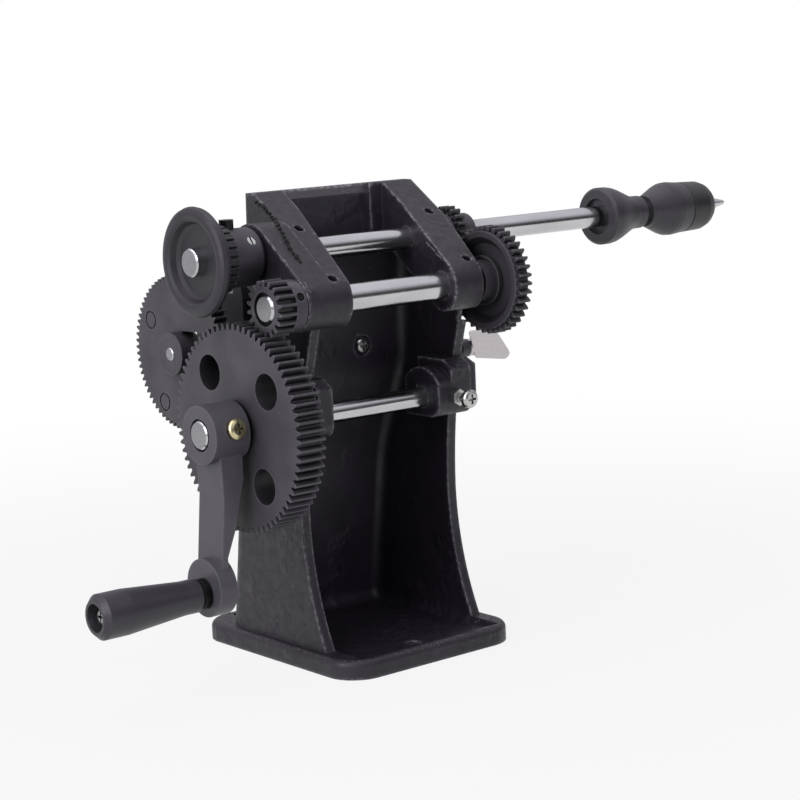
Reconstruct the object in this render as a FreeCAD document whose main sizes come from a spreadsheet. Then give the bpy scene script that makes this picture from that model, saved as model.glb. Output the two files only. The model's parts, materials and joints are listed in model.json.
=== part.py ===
import FreeCAD, Part
import Sketcher
import math
import os

# Hand winding machine: cast frame, three shafts, gear train, crank, cones and revolution counter.
# Origin: centre of the underside of the base. X runs right to the cones, Y to the rear, Z up.
# Millimetres throughout.

os.makedirs("parts", exist_ok=True)
doc = FreeCAD.newDocument("hand_winder")
sheet = doc.addObject("Spreadsheet::Sheet", "dims")

# Driving sizes, then the sizes that follow from them.
SIZES = {
    # base and casting
    "base_half_x": 50.3,
    "base_half_y": 59.5,
    "base_corner": 15.6,
    "base_thick": 8.8,
    "floor_top": 5.5,
    "wall_out": 46,
    "wall_thick": 5,
    "back_wall": 5.5,
    "frame_top": 214.8,
    "ear_left_in": 30,
    "ear_left_out": 46.5,
    "ear_right_in": 20.5,
    "ear_right_out": 45.2,
    "ear_half": 11.8,
    "boss_a_r": 14.2,
    "boss_b_r": 11.8,
    "boss_left": 61.8,
    "boss_right_r": 10,
    "boss_right": 49,
    "facing_right": 40.7,
    "lug_reach": 12.5,
    "lug_rear": 11.3,
    "lug_rise": 17.2,
    "lug_drop": 8.9,
    "lug_right_in": 22.9,
    "lug_step": 31,
    "lug_front_out": 43,
    "lug_right_out": 50.3,
    "lug_left_in": 38.2,
    "lug_screw_x": 33,
    "waist_y": 22.4,
    "waist_z": 70,
    # gear train
    "drive_module": 1.25,
    "count_module": 1,
    "gear_lash": 0.06,
    "shaft_c_y": 27.3,
    "shaft_c_z": 115.8,
    "angle_cb": 109.1,
    "angle_ba": 34.1,
    "angle_ci": 347.84,
    "angle_id": 51.28,
    # shafts, as radii
    "spindle_r": 5.25,
    "middle_r": 6.25,
    "crank_r": 4.75,
    "shaft_head_r": 6.3,
    "count_r": 3,
    "reset_r": 2.5,
    "running_fit": 0.03,
    # stations along X on the crank shaft
    "crank_left": 102,
    "crank_boss_front": 101.5,
    "crank_boss_rear": 83.8,
    "drive_front": 82,
    "drive_rear": 68.5,
    "crank_right": 50.2,
    # crank and grip
    "crank_throw": 69.3,
    "crank_boss_r": 13,
    "crank_end_r": 12.9,
    "crank_end_lift": 2.3,
    "crank_width": 18.7,
    "end_boss_front": 103.6,
    "end_boss_rear": 94.8,
    "clamp_angle": 168.3,
    "seat_depth": 0.8,
    "grip_gap": 4,
    "grip_left": 159,
    "grip_r_in": 7.5,
    "grip_r_out": 10,
    # stations along X on the spindle
    "sweep_gap": 0.5,
    "dish_rim": 93.6,
    "dish_rear": 84.8,
    "knurl_rear": 78,
    "collar_rear": 62.3,
    "dish_r": 24.1,
    "knurl_r": 15.2,
    "collar_r": 13,
    "spindle_right": 243,
    "cone_left": 150.7,
    "cone_gap": 4,
    "cone_length": 29,
    "outer_length": 44.7,
    # stations on the intermediate shaft
    "pinion_front": 77.2,
    "pinion_rear": 68,
    "pinion_hub_rear": 62.3,
    "right_hub_left": 41.2,
    "shroud_left": 46.9,
    "right_gear_left": 48.5,
    "right_gear_right": 55.3,
    "spindle_hub_right": 62.6,
    # counter drive
    "count_front": 67.9,
    "count_rear": 61,
    # counter
    "case_half": 44,
    "case_wall": 2,
    "case_front": 17.5,
    "case_rear": 56.5,
    "case_low": 119,
    "case_top": 168,
    "rib_top": 174.5,
    "wheel_r": 15.8,
    "wheel_width": 10,
    "wheel_gap": 0.8,
    "reset_y": 24.4,
    "reset_z": 125.9,
    "key_collar_left": 91,
    "key_left": 95.9,
    "screw_x": 16,
    "screw_z": 138,
    # gap between faces that pass each other
    "face_gap": 0.5,
}

FORMULAS = {
    "wall_in": "wall_out - wall_thick",
    "shaft_b_y": "shaft_c_y - drive_module * 45 * cos(angle_cb * 1deg)",
    "shaft_b_z": "shaft_c_z + drive_module * 45 * sin(angle_cb * 1deg)",
    "shaft_a_y": "shaft_b_y - drive_module * 28.5 * cos(angle_ba * 1deg)",
    "shaft_a_z": "shaft_b_z + drive_module * 28.5 * sin(angle_ba * 1deg)",
    "idler_y": "0 - shaft_c_y + count_module * 37 * cos(angle_ci * 1deg)",
    "idler_z": "shaft_c_z + count_module * 37 * sin(angle_ci * 1deg)",
    "count_y": "idler_y + count_module * 44 * cos(angle_id * 1deg)",
    "count_z": "idler_z + count_module * 44 * sin(angle_id * 1deg)",
    "spindle_left": "end_boss_rear - sweep_gap",
    "cone_right": "cone_left + cone_length",
    "outer_left": "cone_right + cone_gap",
    "outer_right": "outer_left + outer_length",
    "grip_right": "end_boss_front + grip_gap",
    "crank_low_z": "shaft_c_z - crank_throw",
    "hub_rear": "ear_left_out + 0.3",
    "lug_shank": "lug_reach + 9 - 3.75",
    "clamp_seat_r": "crank_boss_r - seat_depth",
    "clamp_seat_y": "clamp_seat_r * cos(clamp_angle * 1deg)",
    "clamp_seat_z": "clamp_seat_r * sin(clamp_angle * 1deg)",
    "clamp_shank": "clamp_seat_r - shaft_head_r",
}


def fill_sheet():
    row = 1
    for name, number in SIZES.items():
        sheet.set("A%d" % row, name)
        sheet.set("B%d" % row, str(number))
        sheet.setAlias("B%d" % row, name)
        row += 1
    for name, text in FORMULAS.items():
        sheet.set("A%d" % row, name)
        sheet.set("B%d" % row, "=" + text)
        sheet.setAlias("B%d" % row, name)
        row += 1
    doc.recompute()


fill_sheet()


def size(name):
    return float(sheet.get(name))


def amount(text):
    """Value of a sum of named sizes and plain numbers."""
    total = 0.0
    sign = 1.0
    for word in text.split():
        if word == "+":
            sign = 1.0
        elif word == "-":
            sign = -1.0
        elif word[0].isdigit():
            total += sign * float(word)
        else:
            total += sign * size(word)
    return total


def linked(text):
    """The same sum as an expression on the sheet."""
    words = []
    for word in text.split():
        if word in ("+", "-") or word[0].isdigit():
            words.append(word)
        else:
            words.append("dims." + word)
    return " ".join(words)


def place(thing, y="0", z="0", x="0"):
    for axis, text in (("x", x), ("y", y), ("z", z)):
        thing.setExpression("Placement.Base." + axis, linked(text))


AXIS_A = ("- shaft_a_y", "shaft_a_z")
AXIS_B = ("- shaft_b_y", "shaft_b_z")
AXIS_C = ("- shaft_c_y", "shaft_c_z")
AXIS_D = ("count_y", "count_z")
AXIS_IDLER = ("idler_y", "idler_z")
AXIS_GRIP = ("- shaft_c_y", "crank_low_z")
AXIS_RESET = ("reset_y", "reset_z")

NODES = []


def new_body(label, axis=None, node=True):
    body = doc.addObject("PartDesign::Body", label)
    body.Label = label
    if axis:
        place(body, axis[0], axis[1])
    if node:
        NODES.append(body)
    return body


def origin_part(body, role):
    for feature in body.Origin.OriginFeatures:
        if feature.Role == role:
            return feature
    return None


def sketch_on(body, name, role, offset=None):
    """Empty sketch on an origin plane, moved along its normal when an offset is given."""
    sketch = body.newObject("Sketcher::SketchObject", name)
    sketch.AttachmentSupport = [(origin_part(body, role), "")]
    sketch.MapMode = "FlatFace"
    if offset:
        sketch.setExpression("AttachmentOffset.Base.z", linked(offset))
    return sketch


def fix_point(sketch, geometry, point, u, v):
    for kind, text in (("DistanceX", u), ("DistanceY", v)):
        number = sketch.addConstraint(Sketcher.Constraint(kind, -1, 1, geometry, point, amount(text)))
        sketch.setExpression("Constraints[%d]" % number, linked(text))


def polygon(body, name, role, corners, offset=None):
    """Closed outline of straight lines whose corners follow the sheet."""
    sketch = sketch_on(body, name, role, offset)
    points = [FreeCAD.Vector(amount(u), amount(v), 0) for u, v in corners]
    count = len(points)
    for i in range(count):
        sketch.addGeometry(Part.LineSegment(points[i], points[(i + 1) % count]), False)
    for i in range(count):
        sketch.addConstraint(Sketcher.Constraint("Coincident", i, 2, (i + 1) % count, 1))
    for i, (u, v) in enumerate(corners):
        fix_point(sketch, i, 1, u, v)
    return sketch


def circles(body, name, role, rounds, offset=None):
    """Circles given as (u, v, radius) texts."""
    sketch = sketch_on(body, name, role, offset)
    for i, (u, v, radius) in enumerate(rounds):
        centre = FreeCAD.Vector(amount(u), amount(v), 0)
        sketch.addGeometry(Part.Circle(centre, FreeCAD.Vector(0, 0, 1), amount(radius)), False)
        fix_point(sketch, i, 3, u, v)
        number = sketch.addConstraint(Sketcher.Constraint("Radius", i, amount(radius)))
        sketch.setExpression("Constraints[%d]" % number, linked(radius))
    return sketch


def drawn(body, name, role, shapes, offset=None):
    """Sketch of ready lines and arcs computed from the sheet."""
    sketch = sketch_on(body, name, role, offset)
    sketch.addGeometry(shapes, False)
    return sketch


def pad(body, name, sketch, length):
    feature = body.newObject("PartDesign::Pad", name)
    feature.Profile = sketch
    feature.setExpression("Length", linked(length))
    sketch.Visibility = False
    doc.recompute()
    return feature


def pocket(body, name, sketch, length):
    """Cut towards the sketch's own normal; the volume has to fall."""
    before = body.Shape.Volume
    feature = body.newObject("PartDesign::Pocket", name)
    feature.Profile = sketch
    feature.Reversed = True
    feature.setExpression("Length", linked(length))
    sketch.Visibility = False
    doc.recompute()
    if body.Shape.Volume > before - 0.01:
        raise RuntimeError("no cut by " + name)
    return feature


def revolve(body, name, sketch, groove=False):
    kind = "PartDesign::Groove" if groove else "PartDesign::Revolution"
    feature = body.newObject(kind, name)
    feature.Profile = sketch
    feature.ReferenceAxis = (sketch, ["H_Axis"])
    feature.Angle = 360
    sketch.Visibility = False
    doc.recompute()
    return feature


def ring(body, name, source, sketch, count):
    """Repeat a cut round the X direction of the body."""
    feature = body.newObject("PartDesign::PolarPattern", name)
    feature.Originals = [source]
    feature.Axis = (origin_part(body, "X_Axis"), [""])
    feature.Angle = 360
    feature.Occurrences = count
    body.Tip = feature
    doc.recompute()
    return feature


def rounded(body, name, edges, radius):
    base = body.Tip
    feature = body.newObject("PartDesign::Fillet", name)
    feature.Base = (base, edges)
    feature.Radius = radius
    doc.recompute()
    return feature


def edges_where(body, test):
    """Names of the edges of which every sampled point passes the test."""
    names = []
    for i, edge in enumerate(body.Shape.Edges):
        points = edge.discretize(5)
        if all(test(p) for p in points):
            names.append("Edge%d" % (i + 1))
    return names


def turned(label, profile, axis, node=True):
    """Turned piece: profile of (station along X, radius) texts, closed."""
    body = new_body(label, axis, node)
    sketch = polygon(body, label + "_profile", "XY_Plane", profile)
    revolve(body, label + "_turn", sketch)
    return body


def tube(label, left, right, inner, outer, axis, node=True):
    profile = [(left, inner), (right, inner), (right, outer), (left, outer)]
    return turned(label, profile, axis, node)


def group(label, things):
    compound = doc.addObject("Part::Compound", label)
    compound.Label = label
    compound.Links = things
    NODES.append(compound)
    doc.recompute()
    return compound


# Involute gears

PRESSURE = math.radians(20)


def involute(angle):
    return math.tan(angle) - angle


def flank_angle(radius, module, teeth):
    """Half the angle a tooth takes at a radius."""
    pitch_r = module * teeth / 2
    base_r = pitch_r * math.cos(PRESSURE)
    at_pitch = math.pi / (2 * teeth) - size("gear_lash") / (2 * pitch_r)
    if radius <= base_r:
        return at_pitch + involute(PRESSURE)
    return at_pitch + involute(PRESSURE) - involute(math.acos(base_r / radius))


def gear_outline(module, teeth, turn):
    """Toothed outline round the origin; one tooth is centred on the angle turn."""
    tip_r = module * (teeth + 2) / 2
    root_r = module * (teeth - 2.5) / 2
    base_r = module * teeth / 2 * math.cos(PRESSURE)
    low_r = max(root_r, base_r)
    mid_r = (low_r + tip_r) / 2
    steps = [
        (root_r, -flank_angle(low_r, module, teeth)),
        (mid_r, -flank_angle(mid_r, module, teeth)),
        (tip_r, -flank_angle(tip_r, module, teeth)),
        (tip_r, flank_angle(tip_r, module, teeth)),
        (mid_r, flank_angle(mid_r, module, teeth)),
        (root_r, flank_angle(low_r, module, teeth)),
    ]
    points = []
    for tooth in range(teeth):
        centre = turn + 2 * math.pi * tooth / teeth
        for radius, angle in steps:
            u = radius * math.cos(centre + angle)
            v = radius * math.sin(centre + angle)
            points.append(FreeCAD.Vector(u, v, 0))
    lines = []
    for i, point in enumerate(points):
        lines.append(Part.LineSegment(point, points[(i + 1) % len(points)]))
    return lines


def mate(line, teeth, turn, other_teeth):
    """Turn of the second gear so that its gap meets the first gear's tooth on the centre line."""
    phase = (line - turn) * teeth / (2 * math.pi)
    return line + math.pi - (0.5 - phase) * 2 * math.pi / other_teeth


def gear(label, module, teeth, turn, front, width, bore, axis):
    body = new_body(label, axis)
    outline = drawn(body, label + "_teeth", "YZ_Plane", gear_outline(module, teeth, turn), front)
    pad(body, label + "_rim", outline, width)
    hole = circles(body, label + "_hole", "YZ_Plane", [("0", "0", bore)], front)
    pocket(body, label + "_bore", hole, width)
    return body


LINE_CB = math.radians(size("angle_cb"))
LINE_BA = math.radians(size("angle_ba"))
LINE_CI = math.radians(size("angle_ci"))
LINE_ID = math.radians(size("angle_id"))
DRIVE_TEETH = 72
PINION_TEETH = 18
MIDDLE_TEETH = 38
SPINDLE_TEETH = 19
FIRST_COUNT_TEETH = 56
IDLER_TEETH = 18
COUNT_TEETH = 70

turn_drive = math.radians(1.3)
turn_pinion = mate(LINE_CB, DRIVE_TEETH, turn_drive, PINION_TEETH)
turn_middle = math.radians(2)
turn_spindle = mate(LINE_BA, MIDDLE_TEETH, turn_middle, SPINDLE_TEETH)
turn_first = 0.0
turn_idler = mate(LINE_CI, FIRST_COUNT_TEETH, turn_first, IDLER_TEETH)
turn_count = mate(LINE_ID, IDLER_TEETH, turn_idler, COUNT_TEETH)


# Casting

def corner_path(points, radii):
    """Lines through the points with arcs of the given radii at the inner ones."""
    shapes = []
    start = points[0]
    for i in range(1, len(points) - 1):
        before = (points[i - 1] - points[i]).normalize()
        after = (points[i + 1] - points[i]).normalize()
        half = before.getAngle(after) / 2
        radius = radii[i - 1]
        if radius <= 0:
            shapes.append(Part.LineSegment(start, points[i]))
            start = points[i]
            continue
        reach = radius / math.tan(half)
        first = points[i] + before * reach
        last = points[i] + after * reach
        middle = (before + after).normalize()
        near = points[i] + middle * (radius / math.sin(half) - radius)
        shapes.append(Part.LineSegment(start, first))
        shapes.append(Part.Arc(first, near, last))
        start = last
    shapes.append(Part.LineSegment(start, points[-1]))
    return shapes


def joined(points, closed=True):
    shapes = []
    for i in range(len(points) if closed else len(points) - 1):
        shapes.append(Part.LineSegment(points[i], points[(i + 1) % len(points)]))
    return shapes


def at(u, v):
    return FreeCAD.Vector(u, v, 0)


centre_a = at(-size("shaft_a_y"), size("shaft_a_z"))
centre_b = at(-size("shaft_b_y"), size("shaft_b_z"))
centre_c = at(-size("shaft_c_y"), size("shaft_c_z"))
frame_top = size("frame_top")
back_wall = size("back_wall")
floor_top = size("floor_top")
base_thick = size("base_thick")
wall_in = size("wall_in")
wall_out = size("wall_out")

# The inner face of the back wall leans back, swings out behind the crank shaft and meets the floor.
BACK_BENDS = [at(1.5, frame_top), at(7.6, 126), at(24.6, 88), at(36.6, floor_top)]
BACK_RADII = [60, 80]


def casting_side():
    """Side view of the walls: waisted front edge and the outer back line."""
    waist = at(-size("waist_y"), size("waist_z"))
    low = at(-38.2, 5)
    high = at(-36.9, 157)
    low_bow = (low.y - waist.y) ** 2
    low_r = low_bow / (2 * (waist.x - low.x))
    high_r = (high.y - waist.y) ** 2 / (2 * (waist.x - high.x))
    low_mid = at(waist.x - ((low.y - waist.y) / 2) ** 2 / (2 * low_r), (low.y + waist.y) / 2)
    high_mid = at(waist.x - ((high.y - waist.y) / 2) ** 2 / (2 * high_r), (high.y + waist.y) / 2)
    outer = [at(p.x + back_wall, p.y) for p in BACK_BENDS]
    outer.append(at(outer[-1].x, 3))
    shapes = [Part.Arc(low, low_mid, waist), Part.Arc(waist, high_mid, high)]
    shapes += joined([high, centre_b, centre_a, at(2, frame_top - 4), outer[0]], closed=False)
    shapes += corner_path(outer, BACK_RADII + [0])
    shapes += joined([outer[-1], at(low.x, 3), low], closed=False)
    return shapes


def channel_side():
    """Side view of the space between the walls, open to the front and the top."""
    far_front = -90
    lip_rear = at(3.2 - size("base_half_y") + 4, floor_top)
    lip_top = at(lip_rear.x - 4, base_thick + 0.5)
    back = list(reversed(BACK_BENDS))
    points = [lip_rear] + back
    over = at(back[-1].x - 0.6, frame_top + 8)
    shapes = corner_path(points + [over], [6] + list(reversed(BACK_RADII)) + [0])
    shapes += joined([over, at(far_front, frame_top + 8), at(far_front, lip_top.y), lip_top], closed=False)
    shapes += joined([lip_top, lip_rear], closed=False)
    return shapes


def ear_side():
    """Side view of a bearing ear: round nose on the intermediate shaft, sloping top."""
    half = size("ear_half")
    along = (centre_a - centre_b).normalize()
    up = at(-along.y, along.x)
    nose_top = centre_b + up * half
    nose_low = centre_b - up * half
    nose_front = centre_b - along * half
    slope = along.y / along.x
    rear_y = BACK_BENDS[0].x + back_wall
    crest = at(nose_top.x + (frame_top - nose_top.y) / slope, frame_top)
    rear_low_z = nose_low.y + slope * (rear_y + 1 - nose_low.x)
    rear_low = at(rear_y + 1, min(rear_low_z, frame_top - 14))
    under = at(nose_low.x + (rear_low.y - nose_low.y) / slope, rear_low.y)
    shapes = [Part.Arc(nose_low, nose_front, nose_top)]
    shapes += joined([nose_top, crest, at(rear_y, frame_top), rear_low], closed=False)
    if (rear_low - under).Length > 0.5:
        shapes += joined([rear_low, under, nose_low], closed=False)
    else:
        shapes += joined([rear_low, nose_low], closed=False)
    return shapes


def lug_lower(reach):
    """Lower half of a lug, from its front face round the bottom to the rear; corners about the shaft."""
    drop = size("lug_drop")
    corner = 6
    knee = corner * math.sqrt(0.5)
    low_front = at(-reach, corner - drop)
    low_middle = at(corner - reach - knee, corner - drop - knee)
    low_rear = at(corner - reach, -drop)
    rear = at(size("lug_rear"), -drop)
    arc = Part.Arc(centre_c + low_front, centre_c + low_middle, centre_c + low_rear)
    return low_front, rear, [arc, Part.LineSegment(centre_c + low_rear, centre_c + rear)]


def lug_side(reach, rise):
    """Side view of a bearing lug: flat front, sloped top edge, round lower edge."""
    low_front, low_rear, shapes = lug_lower(reach)
    upper = [low_rear, at(low_rear.x, rise), at(5.8 - reach, rise), at(-reach, rise - 4), low_front]
    return shapes + joined([centre_c + p for p in upper], closed=False)


def round_lug_side(radius):
    """The same with a round top about the shaft."""
    reach = size("lug_reach")
    low_front, low_rear, shapes = lug_lower(reach)
    high_rear = at(low_rear.x, math.sqrt(radius ** 2 - low_rear.x ** 2))
    high_front = at(-reach, math.sqrt(radius ** 2 - reach ** 2))
    shapes.append(Part.LineSegment(centre_c + low_rear, centre_c + high_rear))
    shapes.append(Part.Arc(centre_c + high_rear, centre_c + at(0, radius), centre_c + high_front))
    shapes.append(Part.LineSegment(centre_c + high_front, centre_c + low_front))
    return shapes


def capsule(first, first_r, second, second_r):
    """Two discs of different size joined by their outer tangents."""
    along = second - first
    lean = math.asin((first_r - second_r) / along.Length)
    heading = math.atan2(along.y, along.x)
    corners = []
    for side in (1, -1):
        angle = heading + side * (math.pi / 2 - lean)
        way = at(math.cos(angle), math.sin(angle))
        corners.append((first + way * first_r, second + way * second_r))
    ahead = along.normalize()
    (first_up, second_up), (first_low, second_low) = corners
    return [
        Part.Arc(first_up, first - ahead * first_r, first_low),
        Part.LineSegment(first_low, second_low),
        Part.Arc(second_low, second + ahead * second_r, second_up),
        Part.LineSegment(second_up, first_up),
    ]


def rounded_plan(half_x, half_y, corner):
    """Rectangle with round corners, counter-clockwise."""
    shapes = []
    inner_x = half_x - corner
    inner_y = half_y - corner
    diagonal = corner * math.sqrt(0.5)
    ends = []
    for sx, sy in ((1, -1), (1, 1), (-1, 1), (-1, -1)):
        side = at(sx * half_x, sy * inner_y)
        edge = at(sx * inner_x, sy * half_y)
        knee = at(sx * (inner_x + diagonal), sy * (inner_y + diagonal))
        pair = (edge, knee, side) if sx * sy < 0 else (side, knee, edge)
        shapes.append(Part.Arc(*pair))
        ends.append(pair)
    for i in range(4):
        shapes.append(Part.LineSegment(ends[i][2], ends[(i + 1) % 4][0]))
    return shapes


frame = new_body("frame_casting")
plan = rounded_plan(size("base_half_x"), size("base_half_y"), size("base_corner"))
base_plan = drawn(frame, "base_plan", "XY_Plane", plan)
pad(frame, "base_plate", base_plan, "base_thick")
top_rim = edges_where(frame, lambda p: abs(p.z - base_thick) < 0.01)
rounded(frame, "base_rounding", top_rim, 3)
side = drawn(frame, "walls_side", "YZ_Plane", casting_side(), "- wall_out")
pad(frame, "walls", side, "wall_out + wall_out")


def on_back_corner(p):
    lowest = base_thick + 0.3
    back_y = BACK_BENDS[0].x + back_wall - 0.01
    return abs(abs(p.x) - wall_out) < 0.01 and p.y > back_y and p.z > lowest - 0.5


back_corners = edges_where(frame, on_back_corner)
rounded(frame, "back_rounding", back_corners, 10)
channel = drawn(frame, "channel_side", "YZ_Plane", channel_side(), "- wall_in")
pocket(frame, "channel", channel, "wall_in + wall_in")


def on_inner_corner(p):
    return abs(abs(p.x) - wall_in) < 0.01 and p.y > BACK_BENDS[0].x - 1 and p.z > floor_top + 7


inner_corners = edges_where(frame, on_inner_corner)
rounded(frame, "inner_rounding", inner_corners, 5)

# Ears at the top: the right one is set back from the wall, both have tapered inner faces.
left_ear = drawn(frame, "left_ear_side", "YZ_Plane", ear_side(), "- ear_left_out")
pad(frame, "left_ear", left_ear, "ear_left_out - ear_left_in")
right_ear = drawn(frame, "right_ear_side", "YZ_Plane", ear_side(), "ear_right_in")
pad(frame, "right_ear", right_ear, "ear_right_out - ear_right_in")
EAR_FOOT = "shaft_b_z - 19"
left_taper = polygon(
    frame,
    "left_taper_plan",
    "XY_Plane",
    [
        ("- ear_left_in", "- 10"),
        ("- ear_left_in - 8.5", "- 60"),
        ("- ear_left_in + 1", "- 60"),
        ("- ear_left_in + 1", "- 10"),
    ],
    EAR_FOOT,
)
pocket(frame, "left_taper", left_taper, "frame_top - shaft_b_z + 25")
right_taper = polygon(
    frame,
    "right_taper_plan",
    "XY_Plane",
    [
        ("ear_right_in - 1", "- 60"),
        ("ear_right_in", "- 60"),
        ("ear_right_in + 7", "- 12"),
        ("ear_right_in + 7", "1.4"),
        ("ear_right_in - 1", "1.4"),
    ],
    EAR_FOOT,
)
pocket(frame, "right_taper", right_taper, "frame_top - shaft_b_z + 25")
outer_taper = polygon(
    frame,
    "outer_taper_plan",
    "XY_Plane",
    [
        ("ear_right_out", "- 24"),
        ("ear_right_out - 8.3", "- 60"),
        ("ear_right_out + 2", "- 60"),
        ("ear_right_out + 2", "- 24"),
    ],
    EAR_FOOT,
)
pocket(frame, "outer_taper", outer_taper, "frame_top - shaft_b_z + 25")


def relief_side():
    """Side view of the band cut from the right wall, as high as the ear."""
    along = (centre_a - centre_b).normalize()
    low = centre_b - at(-along.y, along.x) * size("ear_half")
    front = low - along * 30
    rear = low + along * 75
    high = frame_top + 10
    return joined([front, rear, at(rear.x, high), at(front.x, high)])


relief = drawn(frame, "relief_side", "YZ_Plane", relief_side(), "ear_right_out")
pocket(frame, "right_relief", relief, "wall_out - ear_right_out + 1")

# Lower lugs for the crank shaft; the right one is stepped and passes through the wall.
REACH = size("lug_reach")
RISE = size("lug_rise")
left_lug = drawn(frame, "left_lug_side", "YZ_Plane", lug_side(REACH, RISE), "- ear_left_out")
pad(frame, "left_lug", left_lug, "ear_left_out - lug_left_in")
inner_lug = drawn(frame, "inner_lug_side", "YZ_Plane", round_lug_side(14.2), "lug_right_in")
pad(frame, "inner_lug", inner_lug, "lug_step - lug_right_in")
middle_lug = drawn(frame, "middle_lug_side", "YZ_Plane", lug_side(REACH, RISE), "lug_step")
pad(frame, "middle_lug", middle_lug, "lug_front_out - lug_step")
outer_lug = drawn(frame, "outer_lug_side", "YZ_Plane", lug_side(REACH - 5, RISE), "lug_front_out")
pad(frame, "outer_lug", outer_lug, "lug_right_out - lug_front_out")
lug_slope = polygon(
    frame,
    "lug_slope_plan",
    "XZ_Plane",
    [
        ("wall_out + 1.5", "shaft_c_z + lug_rise + 1"),
        ("lug_right_out + 1", "shaft_c_z + lug_rise - 6"),
        ("lug_right_out + 1", "shaft_c_z + lug_rise + 1"),
    ],
    "shaft_c_y - lug_rear - 1",
)
pocket(frame, "lug_slope", lug_slope, "lug_rear + lug_reach + 2")

# Bosses outside the ears, boss for the idler stud, pads for the counter.
left_boss = drawn(
    frame,
    "left_boss_side",
    "YZ_Plane",
    capsule(centre_a, size("boss_a_r"), centre_b, size("boss_b_r")),
    "- boss_left",
)
pad(frame, "left_boss", left_boss, "boss_left - ear_left_out + 1")
right_boss = circles(
    frame,
    "right_boss_plan",
    "YZ_Plane",
    [(AXIS_A[0], AXIS_A[1], "boss_right_r")],
    "ear_right_out - 1",
)
pad(frame, "right_boss", right_boss, "boss_right - ear_right_out + 1")
facing = circles(frame, "facing_plan", "YZ_Plane", [(AXIS_B[0], AXIS_B[1], "10.6")], "facing_right")
pocket(frame, "facing", facing, "6")
stud_boss = circles(
    frame,
    "stud_boss_plan",
    "YZ_Plane",
    [(AXIS_IDLER[0], AXIS_IDLER[1], "7")],
    "- wall_out - 6",
)
pad(frame, "stud_boss", stud_boss, "wall_thick + 5")
pads = circles(
    frame,
    "counter_pads_plan",
    "XZ_Plane",
    [("screw_x", "screw_z", "6.5"), ("- screw_x", "screw_z", "6.5")],
    "- case_front",
)
pad(frame, "counter_pads", pads, "8")

# Bores for the three shafts, from side to side.
bores = circles(
    frame,
    "bore_plan",
    "YZ_Plane",
    [
        (AXIS_A[0], AXIS_A[1], "spindle_r + running_fit"),
        (AXIS_B[0], AXIS_B[1], "middle_r + running_fit"),
        (AXIS_C[0], AXIS_C[1], "crank_r + running_fit"),
    ],
    "- pinion_hub_rear",
)
pocket(frame, "bores", bores, "pinion_hub_rear + pinion_hub_rear")
stud_hole = circles(
    frame,
    "stud_hole_plan",
    "YZ_Plane",
    [(AXIS_IDLER[0], AXIS_IDLER[1], "3")],
    "- wall_out - 7",
)
pocket(frame, "stud_hole", stud_hole, "wall_thick + 8")

# Counter screws: flat seats on the inner face, clearance holes through the back wall.
SEAT_Y = 8
seats = circles(
    frame,
    "screw_seat_plan",
    "XZ_Plane",
    [("screw_x", "screw_z", "5"), ("- screw_x", "screw_z", "5")],
    "- %d" % SEAT_Y,
)
pocket(frame, "screw_seats", seats, "3")
holes = circles(
    frame,
    "screw_hole_plan",
    "XZ_Plane",
    [("screw_x", "screw_z", "2.3"), ("- screw_x", "screw_z", "2.3")],
    "- case_front - 1",
)
pocket(frame, "screw_holes", holes, "14")

# Lug screw thread in the right lug, towards the groove in the crank shaft.
lug_hole = circles(
    frame,
    "lug_hole_plan",
    "XZ_Plane",
    [("lug_screw_x", "shaft_c_z", "2")],
    "shaft_c_y",
)
pocket(frame, "lug_hole", lug_hole, "lug_reach + 2")

# Three holes in the base, one at the front between the walls and two behind the back wall.
HOLE_FRONT_Y = 42
HOLE_REAR_Y = 51
HOLE_REAR_X = 32
base_holes = circles(
    frame,
    "base_hole_plan",
    "XY_Plane",
    [
        ("0", "- %d" % HOLE_FRONT_Y, "3.3"),
        ("%d" % HOLE_REAR_X, "%d" % HOLE_REAR_Y, "3.3"),
        ("- %d" % HOLE_REAR_X, "%d" % HOLE_REAR_Y, "3.3"),
    ],
)
pocket(frame, "base_holes", base_holes, "base_thick + 1")

# Oil holes square to the sloping tops: station along X and shift up the slope for each.
OIL_HOLES = (
    ("oil_a", centre_a, ((-38.8, 1.4), (38.6, 4))),
    ("oil_b", centre_b, ((-44, 1.2), (34.8, 3.5))),
)
for name, centre, stations in OIL_HOLES:
    oil = sketch_on(frame, name + "_plan", "XY_Plane")
    turn = FreeCAD.Rotation(FreeCAD.Vector(1, 0, 0), size("angle_ba"))
    oil.AttachmentOffset = FreeCAD.Placement(FreeCAD.Vector(0, centre.x, centre.y), turn)
    for station, shift in stations:
        oil.addGeometry(Part.Circle(at(station, shift), FreeCAD.Vector(0, 0, 1), 2.3), False)
    pocket(frame, name, oil, "ear_half + 4")


# Shafts

def plain_shaft(label, left, right, radius, axis, chamfer="0.6"):
    profile = [
        (left, "0"),
        (right, "0"),
        (right, radius + " - " + chamfer),
        (right + " - " + chamfer, radius),
        (left + " + " + chamfer, radius),
        (left, radius + " - " + chamfer),
    ]
    return turned(label, profile, axis)


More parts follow.
